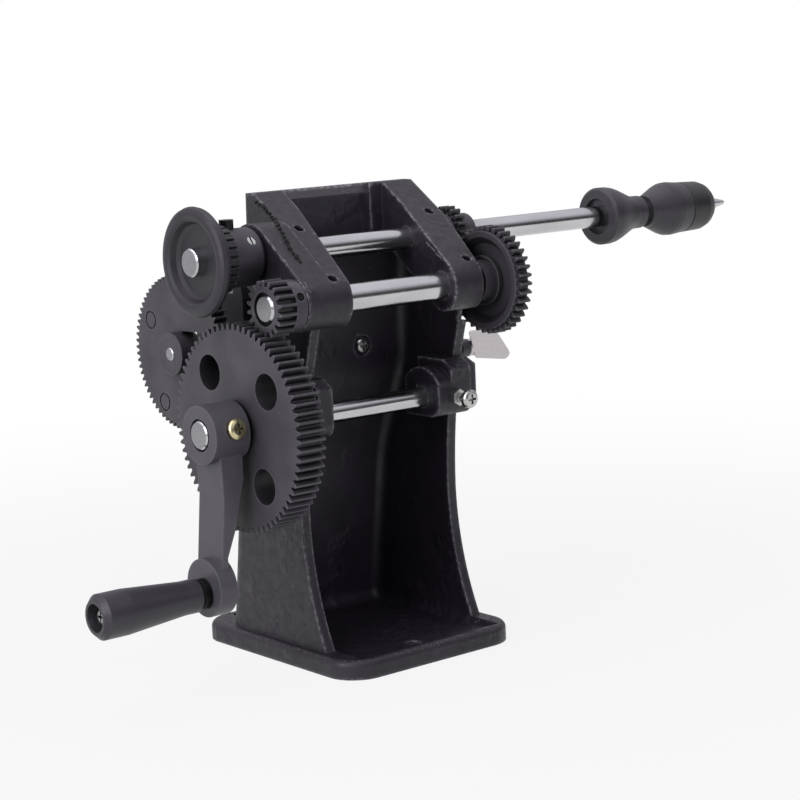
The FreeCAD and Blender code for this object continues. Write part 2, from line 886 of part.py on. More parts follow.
# The crank shaft has a thick left end and a groove for the tip of the lug screw.
GROOVE_R = "3.4"
crank_shaft = turned(
    "crank_shaft",
    [
        ("- crank_left", "0"),
        ("crank_right", "0"),
        ("crank_right", "crank_r - 0.6"),
        ("crank_right - 0.6", "crank_r"),
        ("lug_screw_x + 2.5", "crank_r"),
        ("lug_screw_x + 2.5", GROOVE_R),
        ("lug_screw_x - 2.5", GROOVE_R),
        ("lug_screw_x - 2.5", "crank_r"),
        ("- hub_rear", "crank_r"),
        ("- hub_rear", "shaft_head_r"),
        ("- crank_left + 0.6", "shaft_head_r"),
        ("- crank_left", "shaft_head_r - 0.6"),
    ],
    AXIS_C,
)
plain_shaft("intermediate_shaft", "- pinion_front", "right_gear_right + 1", "middle_r", AXIS_B, "0.9")
turned(
    "spindle_shaft",
    [
        ("- spindle_left", "0"),
        ("spindle_right", "0"),
        ("spindle_right", "1.2"),
        ("outer_right + 0.3", "4.2"),
        ("outer_right + 0.3", "spindle_r"),
        ("- collar_rear", "spindle_r"),
        ("- collar_rear", "shaft_head_r"),
        ("- spindle_left + 0.6", "shaft_head_r"),
        ("- spindle_left", "shaft_head_r - 0.6"),
    ],
    AXIS_A,
)

# Large drive gear with four lightening holes, keyed to the crank shaft.
drive = gear(
    "main_drive_gear",
    size("drive_module"),
    DRIVE_TEETH,
    turn_drive,
    "- drive_front",
    "drive_front - drive_rear",
    "shaft_head_r",
    AXIS_C,
)
HOLE_RING = 29.8
HOLE_ANGLE = math.radians(51.5)
light = sketch_on(drive, "light_hole_plan", "YZ_Plane", "- drive_front")
light_centre = at(HOLE_RING * math.cos(HOLE_ANGLE), HOLE_RING * math.sin(HOLE_ANGLE))
light.addGeometry(Part.Circle(light_centre, FreeCAD.Vector(0, 0, 1), 8), False)
light_hole = pocket(drive, "light_hole", light, "drive_front - drive_rear")
ring(drive, "light_holes", light_hole, light, 4)

# Second gear on the crank shaft, with the hub that runs against the left ear.
first_count = gear(
    "counter_drive_gear",
    size("count_module"),
    FIRST_COUNT_TEETH,
    turn_first,
    "- drive_rear",
    "drive_rear - count_rear",
    "shaft_head_r",
    AXIS_C,
)
hub = circles(
    first_count,
    "counter_drive_hub_plan",
    "YZ_Plane",
    [("0", "0", "9"), ("0", "0", "shaft_head_r")],
    "- count_rear",
)
pad(first_count, "counter_drive_hub", hub, "count_rear - hub_rear")

# Pinion on the intermediate shaft: teeth, then a plain hub with a set screw.
pinion = gear(
    "intermediate_pinion",
    size("drive_module"),
    PINION_TEETH,
    turn_pinion,
    "- pinion_front",
    "pinion_front - pinion_rear",
    "middle_r",
    AXIS_B,
)
hub = circles(
    pinion,
    "pinion_hub_plan",
    "YZ_Plane",
    [("0", "0", "11.6"), ("0", "0", "middle_r")],
    "- pinion_rear",
)
pad(pinion, "pinion_hub", hub, "pinion_rear - pinion_hub_rear")
mouth = circles(pinion, "pinion_mouth_plan", "YZ_Plane", [("0", "0", "middle_r + 1.2")], "- pinion_front")
pocket(pinion, "pinion_mouth", mouth, "2.5")


def cross_hole(body, name, station, radius, angle, start):
    """Radial hole in a turned body, at an angle from +Y towards +Z."""
    plan = sketch_on(body, name + "_plan", "XY_Plane")
    spin = FreeCAD.Rotation(FreeCAD.Vector(1, 0, 0), angle - 90)
    direction = spin.multVec(FreeCAD.Vector(0, 0, 1))
    origin = direction * amount(start)
    plan.AttachmentOffset = FreeCAD.Placement(origin, spin)
    plan.addGeometry(Part.Circle(at(amount(station), 0), FreeCAD.Vector(0, 0, 1), radius), False)
    return pocket(body, name, plan, "40")


def set_screw(label, station, radius, angle, low, high, axis):
    """Slotted grub screw lying in a radial hole, as a node in world position."""
    body = new_body(label, None)
    plan = circles(body, label + "_plan", "XY_Plane", [("0", "0", str(radius))], low)
    pad(body, label + "_stem", plan, high + " - " + low)
    slot = polygon(
        body,
        label + "_slot_plan",
        "XY_Plane",
        [
            ("- 0.4", "- %s" % radius),
            ("0.4", "- %s" % radius),
            ("0.4", str(radius)),
            ("- 0.4", str(radius)),
        ],
        high + " - 0.8",
    )
    pocket(body, label + "_slot", slot, "1")
    body.Placement.Rotation = FreeCAD.Rotation(FreeCAD.Vector(1, 0, 0), angle - 90)
    place(body, axis[0], axis[1], station)
    return body


PINION_SCREW_ANGLE = 155
pinion_screw_x = "- pinion_hub_rear - 2.9"
cross_hole(pinion, "pinion_screw_hole", pinion_screw_x, 2, PINION_SCREW_ANGLE, "middle_r - 1")
set_screw(
    "pinion_set_screw",
    pinion_screw_x,
    2,
    PINION_SCREW_ANGLE,
    "middle_r",
    "11",
    AXIS_B,
)

# Right-hand pair: 38 teeth on the intermediate shaft, 19 on the spindle.
SHROUD_R = "22.7"
middle = gear(
    "intermediate_gear",
    size("drive_module"),
    MIDDLE_TEETH,
    turn_middle,
    "right_gear_left",
    "right_gear_right - right_gear_left",
    "middle_r",
    AXIS_B,
)
disc = circles(
    middle,
    "shroud_plan",
    "YZ_Plane",
    [("0", "0", SHROUD_R), ("0", "0", "middle_r")],
    "shroud_left",
)
pad(middle, "shroud", disc, "right_gear_left - shroud_left")
hub = circles(
    middle,
    "middle_hub_plan",
    "YZ_Plane",
    [("0", "0", "9.5"), ("0", "0", "middle_r")],
    "right_hub_left",
)
pad(middle, "middle_hub", hub, "shroud_left - right_hub_left")
dish_profile = polygon(
    middle,
    "recess_profile",
    "XY_Plane",
    [
        ("shroud_left - 1", "11.5"),
        ("shroud_left + 3", "11.5"),
        ("shroud_left + 3", "17"),
        ("shroud_left", "20"),
        ("shroud_left - 1", "20"),
    ],
)
revolve(middle, "recess", dish_profile, groove=True)

spindle_pinion = gear(
    "spindle_pinion",
    size("drive_module"),
    SPINDLE_TEETH,
    turn_spindle,
    "boss_right + 0.6",
    "right_gear_right - boss_right - 0.6",
    "spindle_r",
    AXIS_A,
)
hub = circles(
    spindle_pinion,
    "spindle_hub_plan",
    "YZ_Plane",
    [("0", "0", "9"), ("0", "0", "spindle_r")],
    "right_gear_right",
)
pad(spindle_pinion, "spindle_hub", hub, "spindle_hub_right - right_gear_right")
spindle_screw_x = "spindle_hub_right - 3.6"
cross_hole(spindle_pinion, "spindle_screw_hole", spindle_screw_x, 2, 240, "spindle_r - 1")
set_screw("spindle_pinion_screw", spindle_screw_x, 2, 240, "spindle_r", "8.6", AXIS_A)

# Hand disc on the left end of the spindle: shallow bowl with a rolled rim and a notched hub.
hand_disc = turned(
    "hand_disc",
    [
        ("- dish_rim + 4.6", "shaft_head_r"),
        ("- dish_rear", "shaft_head_r"),
        ("- dish_rear", "15.6"),
        ("- dish_rear - 1.2", "dish_r - 5.6"),
        ("- dish_rim + 5.6", "dish_r - 1.7"),
        ("- dish_rim + 4.3", "dish_r - 0.4"),
        ("- dish_rim + 2.8", "dish_r"),
        ("- dish_rim + 1.2", "dish_r - 0.6"),
        ("- dish_rim + 0.3", "dish_r - 2.1"),
        ("- dish_rim", "dish_r - 3.9"),
        ("- dish_rim + 0.2", "dish_r - 5"),
        ("- dish_rim + 1.2", "dish_r - 6.3"),
        ("- dish_rim + 3.6", "dish_r - 7.6"),
        ("- dish_rim + 4.6", "dish_r - 9.5"),
    ],
    AXIS_A,
)
NOTCHES = 24


def notched_outline(radius, depth, count):
    """Ring outline with shallow notches."""
    points = []
    step = 2 * math.pi / count
    for i in range(count):
        for share, reach in ((-0.32, radius), (0.32, radius), (0.4, radius - depth), (0.6, radius - depth)):
            angle = step * (i + share)
            points.append(at(reach * math.cos(angle), reach * math.sin(angle)))
    return joined(points)


knurl = drawn(
    hand_disc,
    "knurl_plan",
    "YZ_Plane",
    notched_outline(size("knurl_r"), 1.2, NOTCHES)
    + [Part.Circle(at(0, 0), FreeCAD.Vector(0, 0, 1), size("shaft_head_r"))],
    "- dish_rear",
)
pad(hand_disc, "knurl", knurl, "dish_rear - knurl_rear")

# Collar between the hand disc and the left ear, held by a set screw and a cap screw.
collar = turned(
    "spindle_collar",
    [
        ("- knurl_rear", "shaft_head_r"),
        ("- collar_rear", "shaft_head_r"),
        ("- collar_rear", "collar_r - 1.6"),
        ("- collar_rear - 0.5", "collar_r - 0.5"),
        ("- collar_rear - 1.6", "collar_r"),
        ("- knurl_rear", "collar_r"),
    ],
    AXIS_A,
)
collar_screw_x = "- collar_rear - 5.7"
cross_hole(collar, "collar_screw_hole", collar_screw_x, 2.2, 142, "shaft_head_r - 1")
set_screw("collar_set_screw", collar_screw_x, 2.2, 142, "shaft_head_r", "12.6", AXIS_A)
cap_screw_x = "- collar_rear - 11.7"
cross_hole(collar, "collar_cap_hole", cap_screw_x, 3.2, 90, "shaft_head_r - 1")
set_screw("collar_cap_screw", cap_screw_x, 3.2, 90, "shaft_head_r", "17", AXIS_A)

# Crank: boss on the shaft, bent arm, boss for the grip.
arm = new_body("crank_arm", AXIS_C)
side_view = polygon(
    arm,
    "arm_side",
    "XZ_Plane",
    [
        ("- crank_boss_front + 3.5", "0"),
        ("- crank_boss_front + 4.5", "- 27.3"),
        ("- end_boss_front + 4.1", "- crank_throw + 15.3"),
        ("- end_boss_front + 3.1", "- crank_throw + 3.3"),
        ("- end_boss_rear - 1.2", "- crank_throw + 3.3"),
        ("- end_boss_rear - 1.8", "- crank_throw + 15.7"),
        ("- crank_boss_rear - 8.1", "- 42"),
        ("- crank_boss_rear - 4.9", "- 29"),
        ("- crank_boss_rear - 2.5", "- 20"),
        ("- crank_boss_rear - 2.5", "0"),
    ],
)
arm_pad = pad(arm, "arm_bar", side_view, "crank_width")
arm_pad.Midplane = True
doc.recompute()
boss = circles(arm, "arm_boss_plan", "YZ_Plane", [("0", "0", "crank_boss_r")], "- crank_boss_front")
pad(arm, "arm_boss", boss, "crank_boss_front - crank_boss_rear")
low_boss = circles(
    arm,
    "arm_end_plan",
    "YZ_Plane",
    [("0", "- crank_throw + crank_end_lift", "crank_end_r")],
    "- end_boss_front",
)
pad(arm, "arm_end", low_boss, "end_boss_front - end_boss_rear")
hole = circles(arm, "arm_hole_plan", "YZ_Plane", [("0", "0", "shaft_head_r")], "- crank_boss_front")
pocket(arm, "arm_hole", hole, "crank_boss_front - crank_boss_rear")
mouth = circles(arm, "arm_mouth_plan", "YZ_Plane", [("0", "0", "shaft_head_r + 0.9")], "- crank_boss_front")
pocket(arm, "arm_mouth", mouth, "2.5")
hole = circles(arm, "pin_hole_plan", "YZ_Plane", [("0", "- crank_throw", "3.5")], "- end_boss_front")
pocket(arm, "pin_hole", hole, "end_boss_front - end_boss_rear")
CLAMP_X = "- crank_boss_rear - 7.2"
cross_hole(arm, "clamp_hole", CLAMP_X, 2.5, size("clamp_angle"), "shaft_head_r - 1")
cross_hole(arm, "clamp_seat", CLAMP_X, 4.9, size("clamp_angle"), "clamp_seat_r")


def driven_cross(body, name, radius, top, depth="1.2"):
    """Crossed recess in a screw head that faces +Z of its body."""
    arms = []
    width = 0.55
    for u, v in (
        (width, radius),
        (-width, radius),
        (-width, width),
        (-radius, width),
        (-radius, -width),
        (-width, -width),
        (-width, -radius),
        (width, -radius),
        (width, -width),
        (radius, -width),
        (radius, width),
        (width, width),
    ):
        arms.append(at(u, v))
    plan = drawn(body, name, "XY_Plane", joined(arms), top + " - " + depth)
    return pocket(body, name + "_cut", plan, depth + " + 1")


def pan_screw(label, shank_r, shank_long, head_r, head_high, node=True):
    """Pan-head screw standing on its seat at the origin: head up, shank down."""
    body = new_body(label, None, node)
    profile = [
        ("- %s" % shank_long, "0"),
        (head_high, "0"),
        (head_high, "%s - 1.6" % head_r),
        ("%s - 0.5" % head_high, "%s - 0.5" % head_r),
        ("%s - 1.3" % head_high, head_r),
        ("0", head_r),
        ("0", shank_r),
        ("- %s" % shank_long, shank_r),
    ]
    sketch = sketch_on(body, label + "_profile", "XZ_Plane")
    points = [at(amount(v), amount(u)) for u, v in profile]
    sketch.addGeometry(joined(points), False)
    feature = body.newObject("PartDesign::Revolution", label + "_turn")
    feature.Profile = sketch
    feature.ReferenceAxis = (sketch, ["V_Axis"])
    feature.Angle = 360
    sketch.Visibility = False
    doc.recompute()
    driven_cross(body, label + "_cross", 2.3, head_high)
    return body


TO_FRONT = FreeCAD.Rotation(FreeCAD.Vector(1, 0, 0), 90)
TO_LEFT = FreeCAD.Rotation(FreeCAD.Vector(0, 1, 0), -90)
TO_RIGHT = FreeCAD.Rotation(FreeCAD.Vector(0, 1, 0), 90)

clamp_screw = pan_screw("crank_clamp_screw", "2.5", "clamp_shank", "4.6", "3.4")
clamp_screw.Placement.Rotation = FreeCAD.Rotation(FreeCAD.Vector(1, 0, 0), size("clamp_angle") - 90)
place(clamp_screw, "- shaft_c_y + clamp_seat_y", "shaft_c_z + clamp_seat_z", CLAMP_X)

# Grip on its pin; the pin's flange stands between the crank and the grip.
turned(
    "grip_pin",
    [
        ("- end_boss_rear", "0"),
        ("- end_boss_rear", "3.5"),
        ("- end_boss_front", "3.5"),
        ("- end_boss_front", "6.8"),
        ("- grip_right + 0.3", "6.8"),
        ("- grip_right + 0.3", "3.5"),
        ("- grip_left + 6.5", "3.5"),
        ("- grip_left + 6.5", "1.6"),
        ("- grip_left + 17", "1.6"),
        ("- grip_left + 17", "0"),
    ],
    AXIS_GRIP,
)
turned(
    "handle_grip",
    [
        ("- grip_right", "3.6"),
        ("- grip_right", "grip_r_in - 1"),
        ("- grip_right - 1.2", "grip_r_in"),
        ("- grip_right - 8", "grip_r_in"),
        ("- grip_left + 14", "grip_r_out"),
        ("- grip_left + 2.5", "grip_r_out"),
        ("- grip_left", "grip_r_out - 2.4"),
        ("- grip_left", "6.2"),
        ("- grip_left + 6.8", "6.2"),
        ("- grip_left + 6.8", "3.6"),
    ],
    AXIS_GRIP,
)
tube("grip_washer", "- grip_left + 5.4", "- grip_left + 6.5", "1.7", "5.4", AXIS_GRIP)
grip_screw = pan_screw("grip_screw", "1.6", "8.5", "4", "2.6")
grip_screw.Placement.Rotation = TO_LEFT
place(grip_screw, AXIS_GRIP[0], AXIS_GRIP[1], "- grip_left + 5.4")

# Clamping cones on the spindle.
inner_cone = turned(
    "inner_cone",
    [
        ("cone_left + 2.5", "spindle_r + 0.05"),
        ("cone_right", "spindle_r + 0.05"),
        ("cone_right", "7.8"),
        ("cone_right - 0.4", "8.2"),
        ("cone_left + 23.5", "8.3"),
        ("cone_left + 20.5", "9"),
        ("cone_left + 11", "12.9"),
        ("cone_left + 8.2", "13.8"),
        ("cone_left + 5.5", "14.25"),
        ("cone_left + 1.2", "14.25"),
        ("cone_left", "13"),
        ("cone_left", "9"),
        ("cone_left + 2.5", "9"),
    ],
    AXIS_A,
)
cross_hole(inner_cone, "inner_cone_hole", "cone_left + 5.2", 2, 60, "spindle_r - 1")
set_screw("inner_cone_screw", "cone_left + 5.2", 2, 60, "spindle_r", "13.4", AXIS_A)
outer_cone = turned(
    "outer_cone",
    [
        ("outer_left", "spindle_r + 0.05"),
        ("outer_left + 24.9", "spindle_r + 0.05"),
        ("outer_left + 24.9", "12.5"),
        ("outer_left + 24.5", "12.9"),
        ("outer_left + 17", "13.6"),
        ("outer_left + 14", "13.4"),
        ("outer_left + 11.5", "12.6"),
        ("outer_left + 2", "8.4"),
        ("outer_left", "7.9"),
    ],
    AXIS_A,
)
cross_hole(outer_cone, "outer_cone_hole", "outer_left + 20", 2, 60, "spindle_r - 1")
set_screw("outer_cone_screw", "outer_left + 20", 2, 60, "spindle_r", "12.6", AXIS_A)
turned(
    "spindle_end_nut",
    [
        ("outer_left + 25.2", "spindle_r + 0.02"),
        ("outer_right", "spindle_r + 0.02"),
        ("outer_right", "7.6"),
        ("outer_right - 1.4", "9.6"),
        ("outer_right - 4", "11.4"),
        ("outer_right - 7.5", "12.5"),
        ("outer_left + 25.6", "12.9"),
        ("outer_left + 25.2", "12.5"),
    ],
    AXIS_A,
)

# Idler for the counter: gear on a shoulder stud in the left wall.
gear(
    "counter_idler_gear",
    size("count_module"),
    IDLER_TEETH,
    turn_idler,
    "- count_front",
    "count_front - count_rear",
    "4.05",
    AXIS_IDLER,
)
turned(
    "idler_stud",
    [
        ("- wall_in", "0"),
        ("- wall_in", "3"),
        ("- wall_out - 6", "3"),
        ("- wall_out - 6", "6"),
        ("- count_rear + 0.3", "6"),
        ("- count_rear + 0.3", "4"),
        ("- count_front - 0.1", "4"),
        ("- count_front - 0.1", "2"),
        ("- count_front + 3", "2"),
        ("- count_front + 3", "0"),
    ],
    AXIS_IDLER,
)

# Counter gear with a window, a proud hub and two shallow marks.
count_gear = gear(
    "counter_gear",
    size("count_module"),
    COUNT_TEETH,
    turn_count,
    "- count_front",
    "count_front - count_rear",
    "count_r",
    AXIS_D,
)
window_cut = drawn(
    count_gear,
    "gear_window_plan",
    "YZ_Plane",
    joined([at(-3, 10.4), at(-29, 11), at(-28, -8), at(-24, -17), at(-5, -12.5)]),
    "- count_front",
)
pocket(count_gear, "gear_window", window_cut, "count_front - count_rear")
HUB_PROUD = "4.8"
hub = circles(
    count_gear,
    "counter_hub_plan",
    "YZ_Plane",
    [("0", "0", "9.8"), ("0", "0", "count_r")],
    "- count_front - %s" % HUB_PROUD,
)
pad(count_gear, "counter_hub", hub, "count_front - count_rear + %s" % HUB_PROUD)
marks = sketch_on(count_gear, "mark_plan", "YZ_Plane", "- count_front")
for radius, angle in ((26, 32), (28, -60)):
    turn = math.radians(angle)
    centre = at(radius * math.cos(turn), radius * math.sin(turn))
    marks.addGeometry(Part.Circle(centre, FreeCAD.Vector(0, 0, 1), 4.4), False)
    marks.addGeometry(Part.Circle(centre, FreeCAD.Vector(0, 0, 1), 3.4), False)
pocket(count_gear, "marks", marks, "0.6")

# Counter case: solid outline, hollow inside, window facing up and back.
case = new_body("counter_case")
count_y = size("count_y")
count_z = size("count_z")
WINDOW_REACH = 19
sum_yz = count_y + count_z + WINDOW_REACH * math.sqrt(2)
rear = size("case_rear")
top = size("case_top")
rib_front = size("case_front") + 1.5
case_line = [
    at(size("case_front"), size("case_low")),
    at(rear, size("case_low")),
    at(rear, sum_yz - rear),
    at(sum_yz - top, top),
    at(rib_front + 6, top),
    at(rib_front + 5, size("rib_top")),
    at(rib_front, size("rib_top")),
    at(size("case_front"), top - 2),
]
outline = drawn(case, "case_side", "YZ_Plane", joined(case_line), "- case_half")
pad(case, "case_block", outline, "case_half + case_half")
wall = size("case_wall")
sum_in = sum_yz - wall * math.sqrt(2)
hollow_line = [
    at(size("case_front") + wall, size("case_low") + wall),
    at(rear - wall, size("case_low") + wall),
    at(rear - wall, sum_in - rear + wall),
    at(sum_in - top + wall, top - wall),
    at(size("case_front") + wall, top - wall),
]
hollow = drawn(case, "case_hollow_side", "YZ_Plane", joined(hollow_line), "- case_half + case_wall")
pocket(case, "case_hollow", hollow, "case_half + case_half - case_wall - case_wall")
ends = circles(
    case,
    "case_bores_plan",
    "YZ_Plane",
    [
        (AXIS_D[0], AXIS_D[1], "count_r + running_fit"),
        (AXIS_RESET[0], AXIS_RESET[1], "reset_r + running_fit"),
    ],
    "- case_half - 1",
)
pocket(case, "case_bores", ends, "case_half + case_half + 2")
threads = circles(
    case,
    "case_threads_plan",
    "XZ_Plane",
    [("screw_x", "screw_z", "2"), ("- screw_x", "screw_z", "2")],
    "- case_front - case_wall - 0.5",
)
pocket(case, "case_threads", threads, "case_wall + 1")
slot = sketch_on(case, "window_slot_plan", "XY_Plane")
TO_WINDOW = FreeCAD.Rotation(FreeCAD.Vector(1, 0, 0), -45)
slot.AttachmentOffset = FreeCAD.Placement(FreeCAD.Vector(0, count_y, count_z), TO_WINDOW)
SLOT_X = 25
SLOT_Y = 5
slot.addGeometry(
    joined([at(-SLOT_X, -SLOT_Y), at(SLOT_X, -SLOT_Y), at(SLOT_X, SLOT_Y), at(-SLOT_X, SLOT_Y)]),
    False,
)
pocket(case, "window_slot", slot, "24")
pane = new_body("counter_window", AXIS_D)
pane_plan = polygon(
    pane,
    "pane_plan",
    "XY_Plane",
    [
        ("- %d" % SLOT_X, "- %d" % SLOT_Y),
        ("%d" % SLOT_X, "- %d" % SLOT_Y),
        ("%d" % SLOT_X, "%d" % SLOT_Y),
        ("- %d" % SLOT_X, "%d" % SLOT_Y),
    ],
    "%d - 1.6" % WINDOW_REACH,
)
pad(pane, "pane", pane_plan, "1.2")
pane.Placement.Rotation = TO_WINDOW

# Number wheels: the units wheel is fast on the input shaft, the others run on it.
plain_shaft("counter_input_shaft", "- count_front - 5.3", "case_half - 0.2", "count_r", AXIS_D, "0.4")
WHEELS = ("units_wheel", "tens_wheel", "hundreds_wheel", "thousands_wheel")
for i, name in enumerate(WHEELS):
    right = 22 - i * (size("wheel_width") + size("wheel_gap"))
    right_text = "%s%g" % ("- " if right < 0 else "", abs(right))
    left_text = right_text + " - wheel_width"
    bore = "count_r" if i == 0 else "count_r + 0.05"
    turned(
        name,
        [
            (left_text, bore),
            (right_text, bore),
            (right_text, "wheel_r"),
            (left_text, "wheel_r"),
        ],
        AXIS_D,
    )
carries = []
for i in range(3):
    middle_x = 22 - size("wheel_width") - size("wheel_gap") / 2 - i * (size("wheel_width") + size("wheel_gap"))
    body = new_body("carry_wheel_%d" % (i + 1), AXIS_RESET, node=False)
    star = []
    for k in range(16):
        radius = 4.1 if k % 2 == 0 else 3.4
        angle = math.pi * k / 8
        star.append(at(radius * math.cos(angle), radius * math.sin(angle)))
    shapes = joined(star)
    shapes.append(Part.Circle(at(0, 0), FreeCAD.Vector(0, 0, 1), size("reset_r") + 0.05))
    start = middle_x - 3
    start_text = "%s%g" % ("- " if start < 0 else "", abs(start))
    plan = drawn(body, "carry_plan_%d" % (i + 1), "YZ_Plane", shapes, start_text)
    pad(body, "carry_pad_%d" % (i + 1), plan, "6")
    carries.append(body)
group("carry_wheels", carries)

# Reset shaft with its key on the right: a slanted blade, bent towards the front, on a short boss.
plain_shaft("reset_shaft", "- case_half + 0.2", "key_left + 7", "reset_r", AXIS_RESET, "0.4")
tube("reset_collar", "key_collar_left", "key_left", "reset_r", "4.6", AXIS_RESET)
KEY_TURN = 108.2
KEY_BEND = -22.3
key = new_body("reset_key")
blade = sketch_on(key, "key_plan", "XY_Plane")
bend = FreeCAD.Rotation(FreeCAD.Vector(0, 1, 0), KEY_BEND)
blade.AttachmentOffset = FreeCAD.Placement(FreeCAD.Vector(size("key_collar_left"), 0, 0), bend)
blade_corners = [at(7.2, 1.6), at(3.6, 10), at(18.9, 10), at(30.7, -4), at(9.6, -4), at(7.2, 1.6)]
blade.addGeometry(corner_path(blade_corners, [1.5, 3, 3, 1]), False)
key_pad = pad(key, "key_blade", blade, "2.6")
key_pad.Midplane = True
doc.recompute()
boss = circles(key, "key_boss_plan", "YZ_Plane", [("0", "0", "4.4")], "key_left")
pad(key, "key_boss", boss, "7")
bore = circles(key, "key_bore_plan", "YZ_Plane", [("0", "0", "reset_r")], "key_left")
pocket(key, "key_bore", bore, "7")
key.Placement.Rotation = FreeCAD.Rotation(FreeCAD.Vector(1, 0, 0), KEY_TURN)
place(key, AXIS_RESET[0], AXIS_RESET[1])

# Screws that hold the counter, heads inside the casting.
screws = []
for sign, side_name in (("", "right"), ("- ", "left")):
    screw = pan_screw("counter_screw_" + side_name, "2", "11.5", "3.5", "2.7", node=False)
    screw.Placement.Rotation = TO_FRONT
    place(screw, "%d" % SEAT_Y, "screw_z", sign + "screw_x")
    screws.append(screw)
group("counter_screws", screws)

# Lug screw with its lock nut; its tip stands in the groove of the crank shaft.
LUG_FRONT = "- shaft_c_y - lug_reach"
lug_screw = pan_screw("lug_screw", "2", "lug_shank", "4.3", "3")
lug_screw.Placement.Rotation = TO_FRONT
place(lug_screw, LUG_FRONT + " - 9", "shaft_c_z", "lug_screw_x")
nut = new_body("lug_lock_nut")
NUT_FLATS = 7
hexagon = []
for k in range(6):
    angle = math.pi / 6 + math.pi * k / 3
    reach = NUT_FLATS / math.sqrt(3)
    hexagon.append(at(reach * math.cos(angle), reach * math.sin(angle)))
shapes = joined(hexagon)
shapes.append(Part.Circle(at(0, 0), FreeCAD.Vector(0, 0, 1), 2))
plan = drawn(nut, "nut_plan", "XY_Plane", shapes)
pad(nut, "nut_block", plan, "3.4")
nut.Placement.Rotation = TO_FRONT
place(nut, LUG_FRONT, "shaft_c_z", "lug_screw_x")

doc.recompute()

# Checks, then one file for each node.
for item in doc.Objects:
    for word in ("Invalid", "Error"):
        if word in item.State:
            raise RuntimeError(item.Name + " is " + word)
for node in NODES:
    shape = node.Shape
    if shape.isNull() or not shape.isValid() or not shape.Solids:
        raise RuntimeError("bad shape in " + node.Label)
    shape.exportStep(os.path.join("parts", node.Label + ".step"))
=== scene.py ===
# %% [markdown]
# # A hand winding machine, finished in Blender
# The shapes of this machine come from a CAD model, where every gear tooth and bore has its size.
# This lesson gives the shapes their surfaces: rough enamel on a casting, ground steel, blackened
# gears and plated screws. Then it adds the few pieces that are easier to draw here, the figures on
# the number wheels among them.

import json
import math

import bmesh
import bpy
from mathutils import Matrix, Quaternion, Vector


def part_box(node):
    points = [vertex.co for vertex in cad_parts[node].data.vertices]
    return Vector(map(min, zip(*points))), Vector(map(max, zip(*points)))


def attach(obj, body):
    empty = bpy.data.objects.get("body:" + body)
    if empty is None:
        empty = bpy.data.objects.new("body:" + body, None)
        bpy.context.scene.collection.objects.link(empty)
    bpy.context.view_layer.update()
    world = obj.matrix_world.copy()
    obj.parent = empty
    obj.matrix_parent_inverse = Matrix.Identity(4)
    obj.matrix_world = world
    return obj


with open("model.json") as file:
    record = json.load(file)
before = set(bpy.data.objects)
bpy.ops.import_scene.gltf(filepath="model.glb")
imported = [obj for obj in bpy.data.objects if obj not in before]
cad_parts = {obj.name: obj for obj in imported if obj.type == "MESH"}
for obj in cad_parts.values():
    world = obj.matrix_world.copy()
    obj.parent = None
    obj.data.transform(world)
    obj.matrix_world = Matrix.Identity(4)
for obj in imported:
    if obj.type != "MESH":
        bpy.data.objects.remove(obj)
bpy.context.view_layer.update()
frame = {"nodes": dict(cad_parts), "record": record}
scene = bpy.context.scene
nodes = frame["nodes"]

# %% [markdown]
# ## Colours and nodes
# Colours are easiest to choose as the hex values that any paint program shows. Those are sRGB, while
# a shader works in linear light, so one function turns one into the other. A second function adds a
# node, sets its values and links its inputs, which keeps each material short enough to read.

# %% Colour and node helpers
def colour(code):
    """Linear RGBA from an sRGB hex value such as #1A1A1C."""
    channels = []
    for i in (1, 3, 5):
        value = int(code[i : i + 2], 16) / 255
        channels.append(value / 12.92 if value <= 0.04045 else ((value + 0.055) / 1.055) ** 2.4)
    return (*channels, 1.0)


def add(tree, kind, inputs=None, **settings):
    """Add a node; inputs maps a socket's name or number to a value or to another node's output."""
    node = tree.nodes.new(kind)
    for name, value in settings.items():
        setattr(node, name, value)
    for key, value in (inputs or {}).items():
        if isinstance(value, bpy.types.NodeSocket):
            tree.links.new(value, node.inputs[key])
        else:
            node.inputs[key].default_value = value
    return node


def new_material(name):
    """Material with an empty node tree, and that tree."""
    material = bpy.data.materials.new(name)
    material.use_nodes = True
    material.node_tree.nodes.clear()
    return material, material.node_tree


print("sRGB #808080 is", round(colour("#808080")[0], 3), "in linear light")

# %% [markdown]
# ## The camera
# A photograph fixes three things: where the camera stood, where it looked and how long its lens was.
# Here they were worked out from the shafts and the base, whose edges are square to each other. A long
# lens far away gives the flat look of a product picture. The last number is the small roll of the
# camera, which is why the shafts rise a little more than they should.

# %% Camera
CAMERA_AT = Vector((-0.6094, -0.7929, 0.2773))
LOOKS_AT = Vector((0.0101, -0.02725, 0.1161))
LENS = 97.3
ROLL = math.radians(-2.44)

camera = bpy.data.objects.new("camera", bpy.data.cameras.new("camera"))
scene.collection.objects.link(camera)
scene.camera = camera
camera.data.lens = LENS
camera.data.sensor_width = 36
camera.data.clip_start = 0.05
camera.data.clip_end = 20
camera.location = CAMERA_AT
camera.rotation_mode = "QUATERNION"
facing = (LOOKS_AT - CAMERA_AT).to_track_quat("-Z", "Y")
camera.rotation_quaternion = facing @ Quaternion((0, 0, 1), ROLL)
print("camera distance", round((LOOKS_AT - CAMERA_AT).length, 3), "m")

# %% [markdown]
# ## Floor and light
# The machine stands on a sweep of white paper. A large plane does for the paper. To the camera, to
# shiny metal and to glass the far paper is pure white, which comes from a glow that only such rays
# see, so it lights the machine no more than real paper would. Near the machine a part of what
# the camera sees is the lit paper itself, and that part keeps the soft shadow. Distances are in
# metres. The floor lies a hair lower than the base, so that the two never share a face.

# %% Floor
NEAR_PAPER = 0.16
FAR_PAPER = 0.75
NEAR_GLOW = 0.86
FLOOR_HALF = 6
FLOOR_DROP = 0.0002


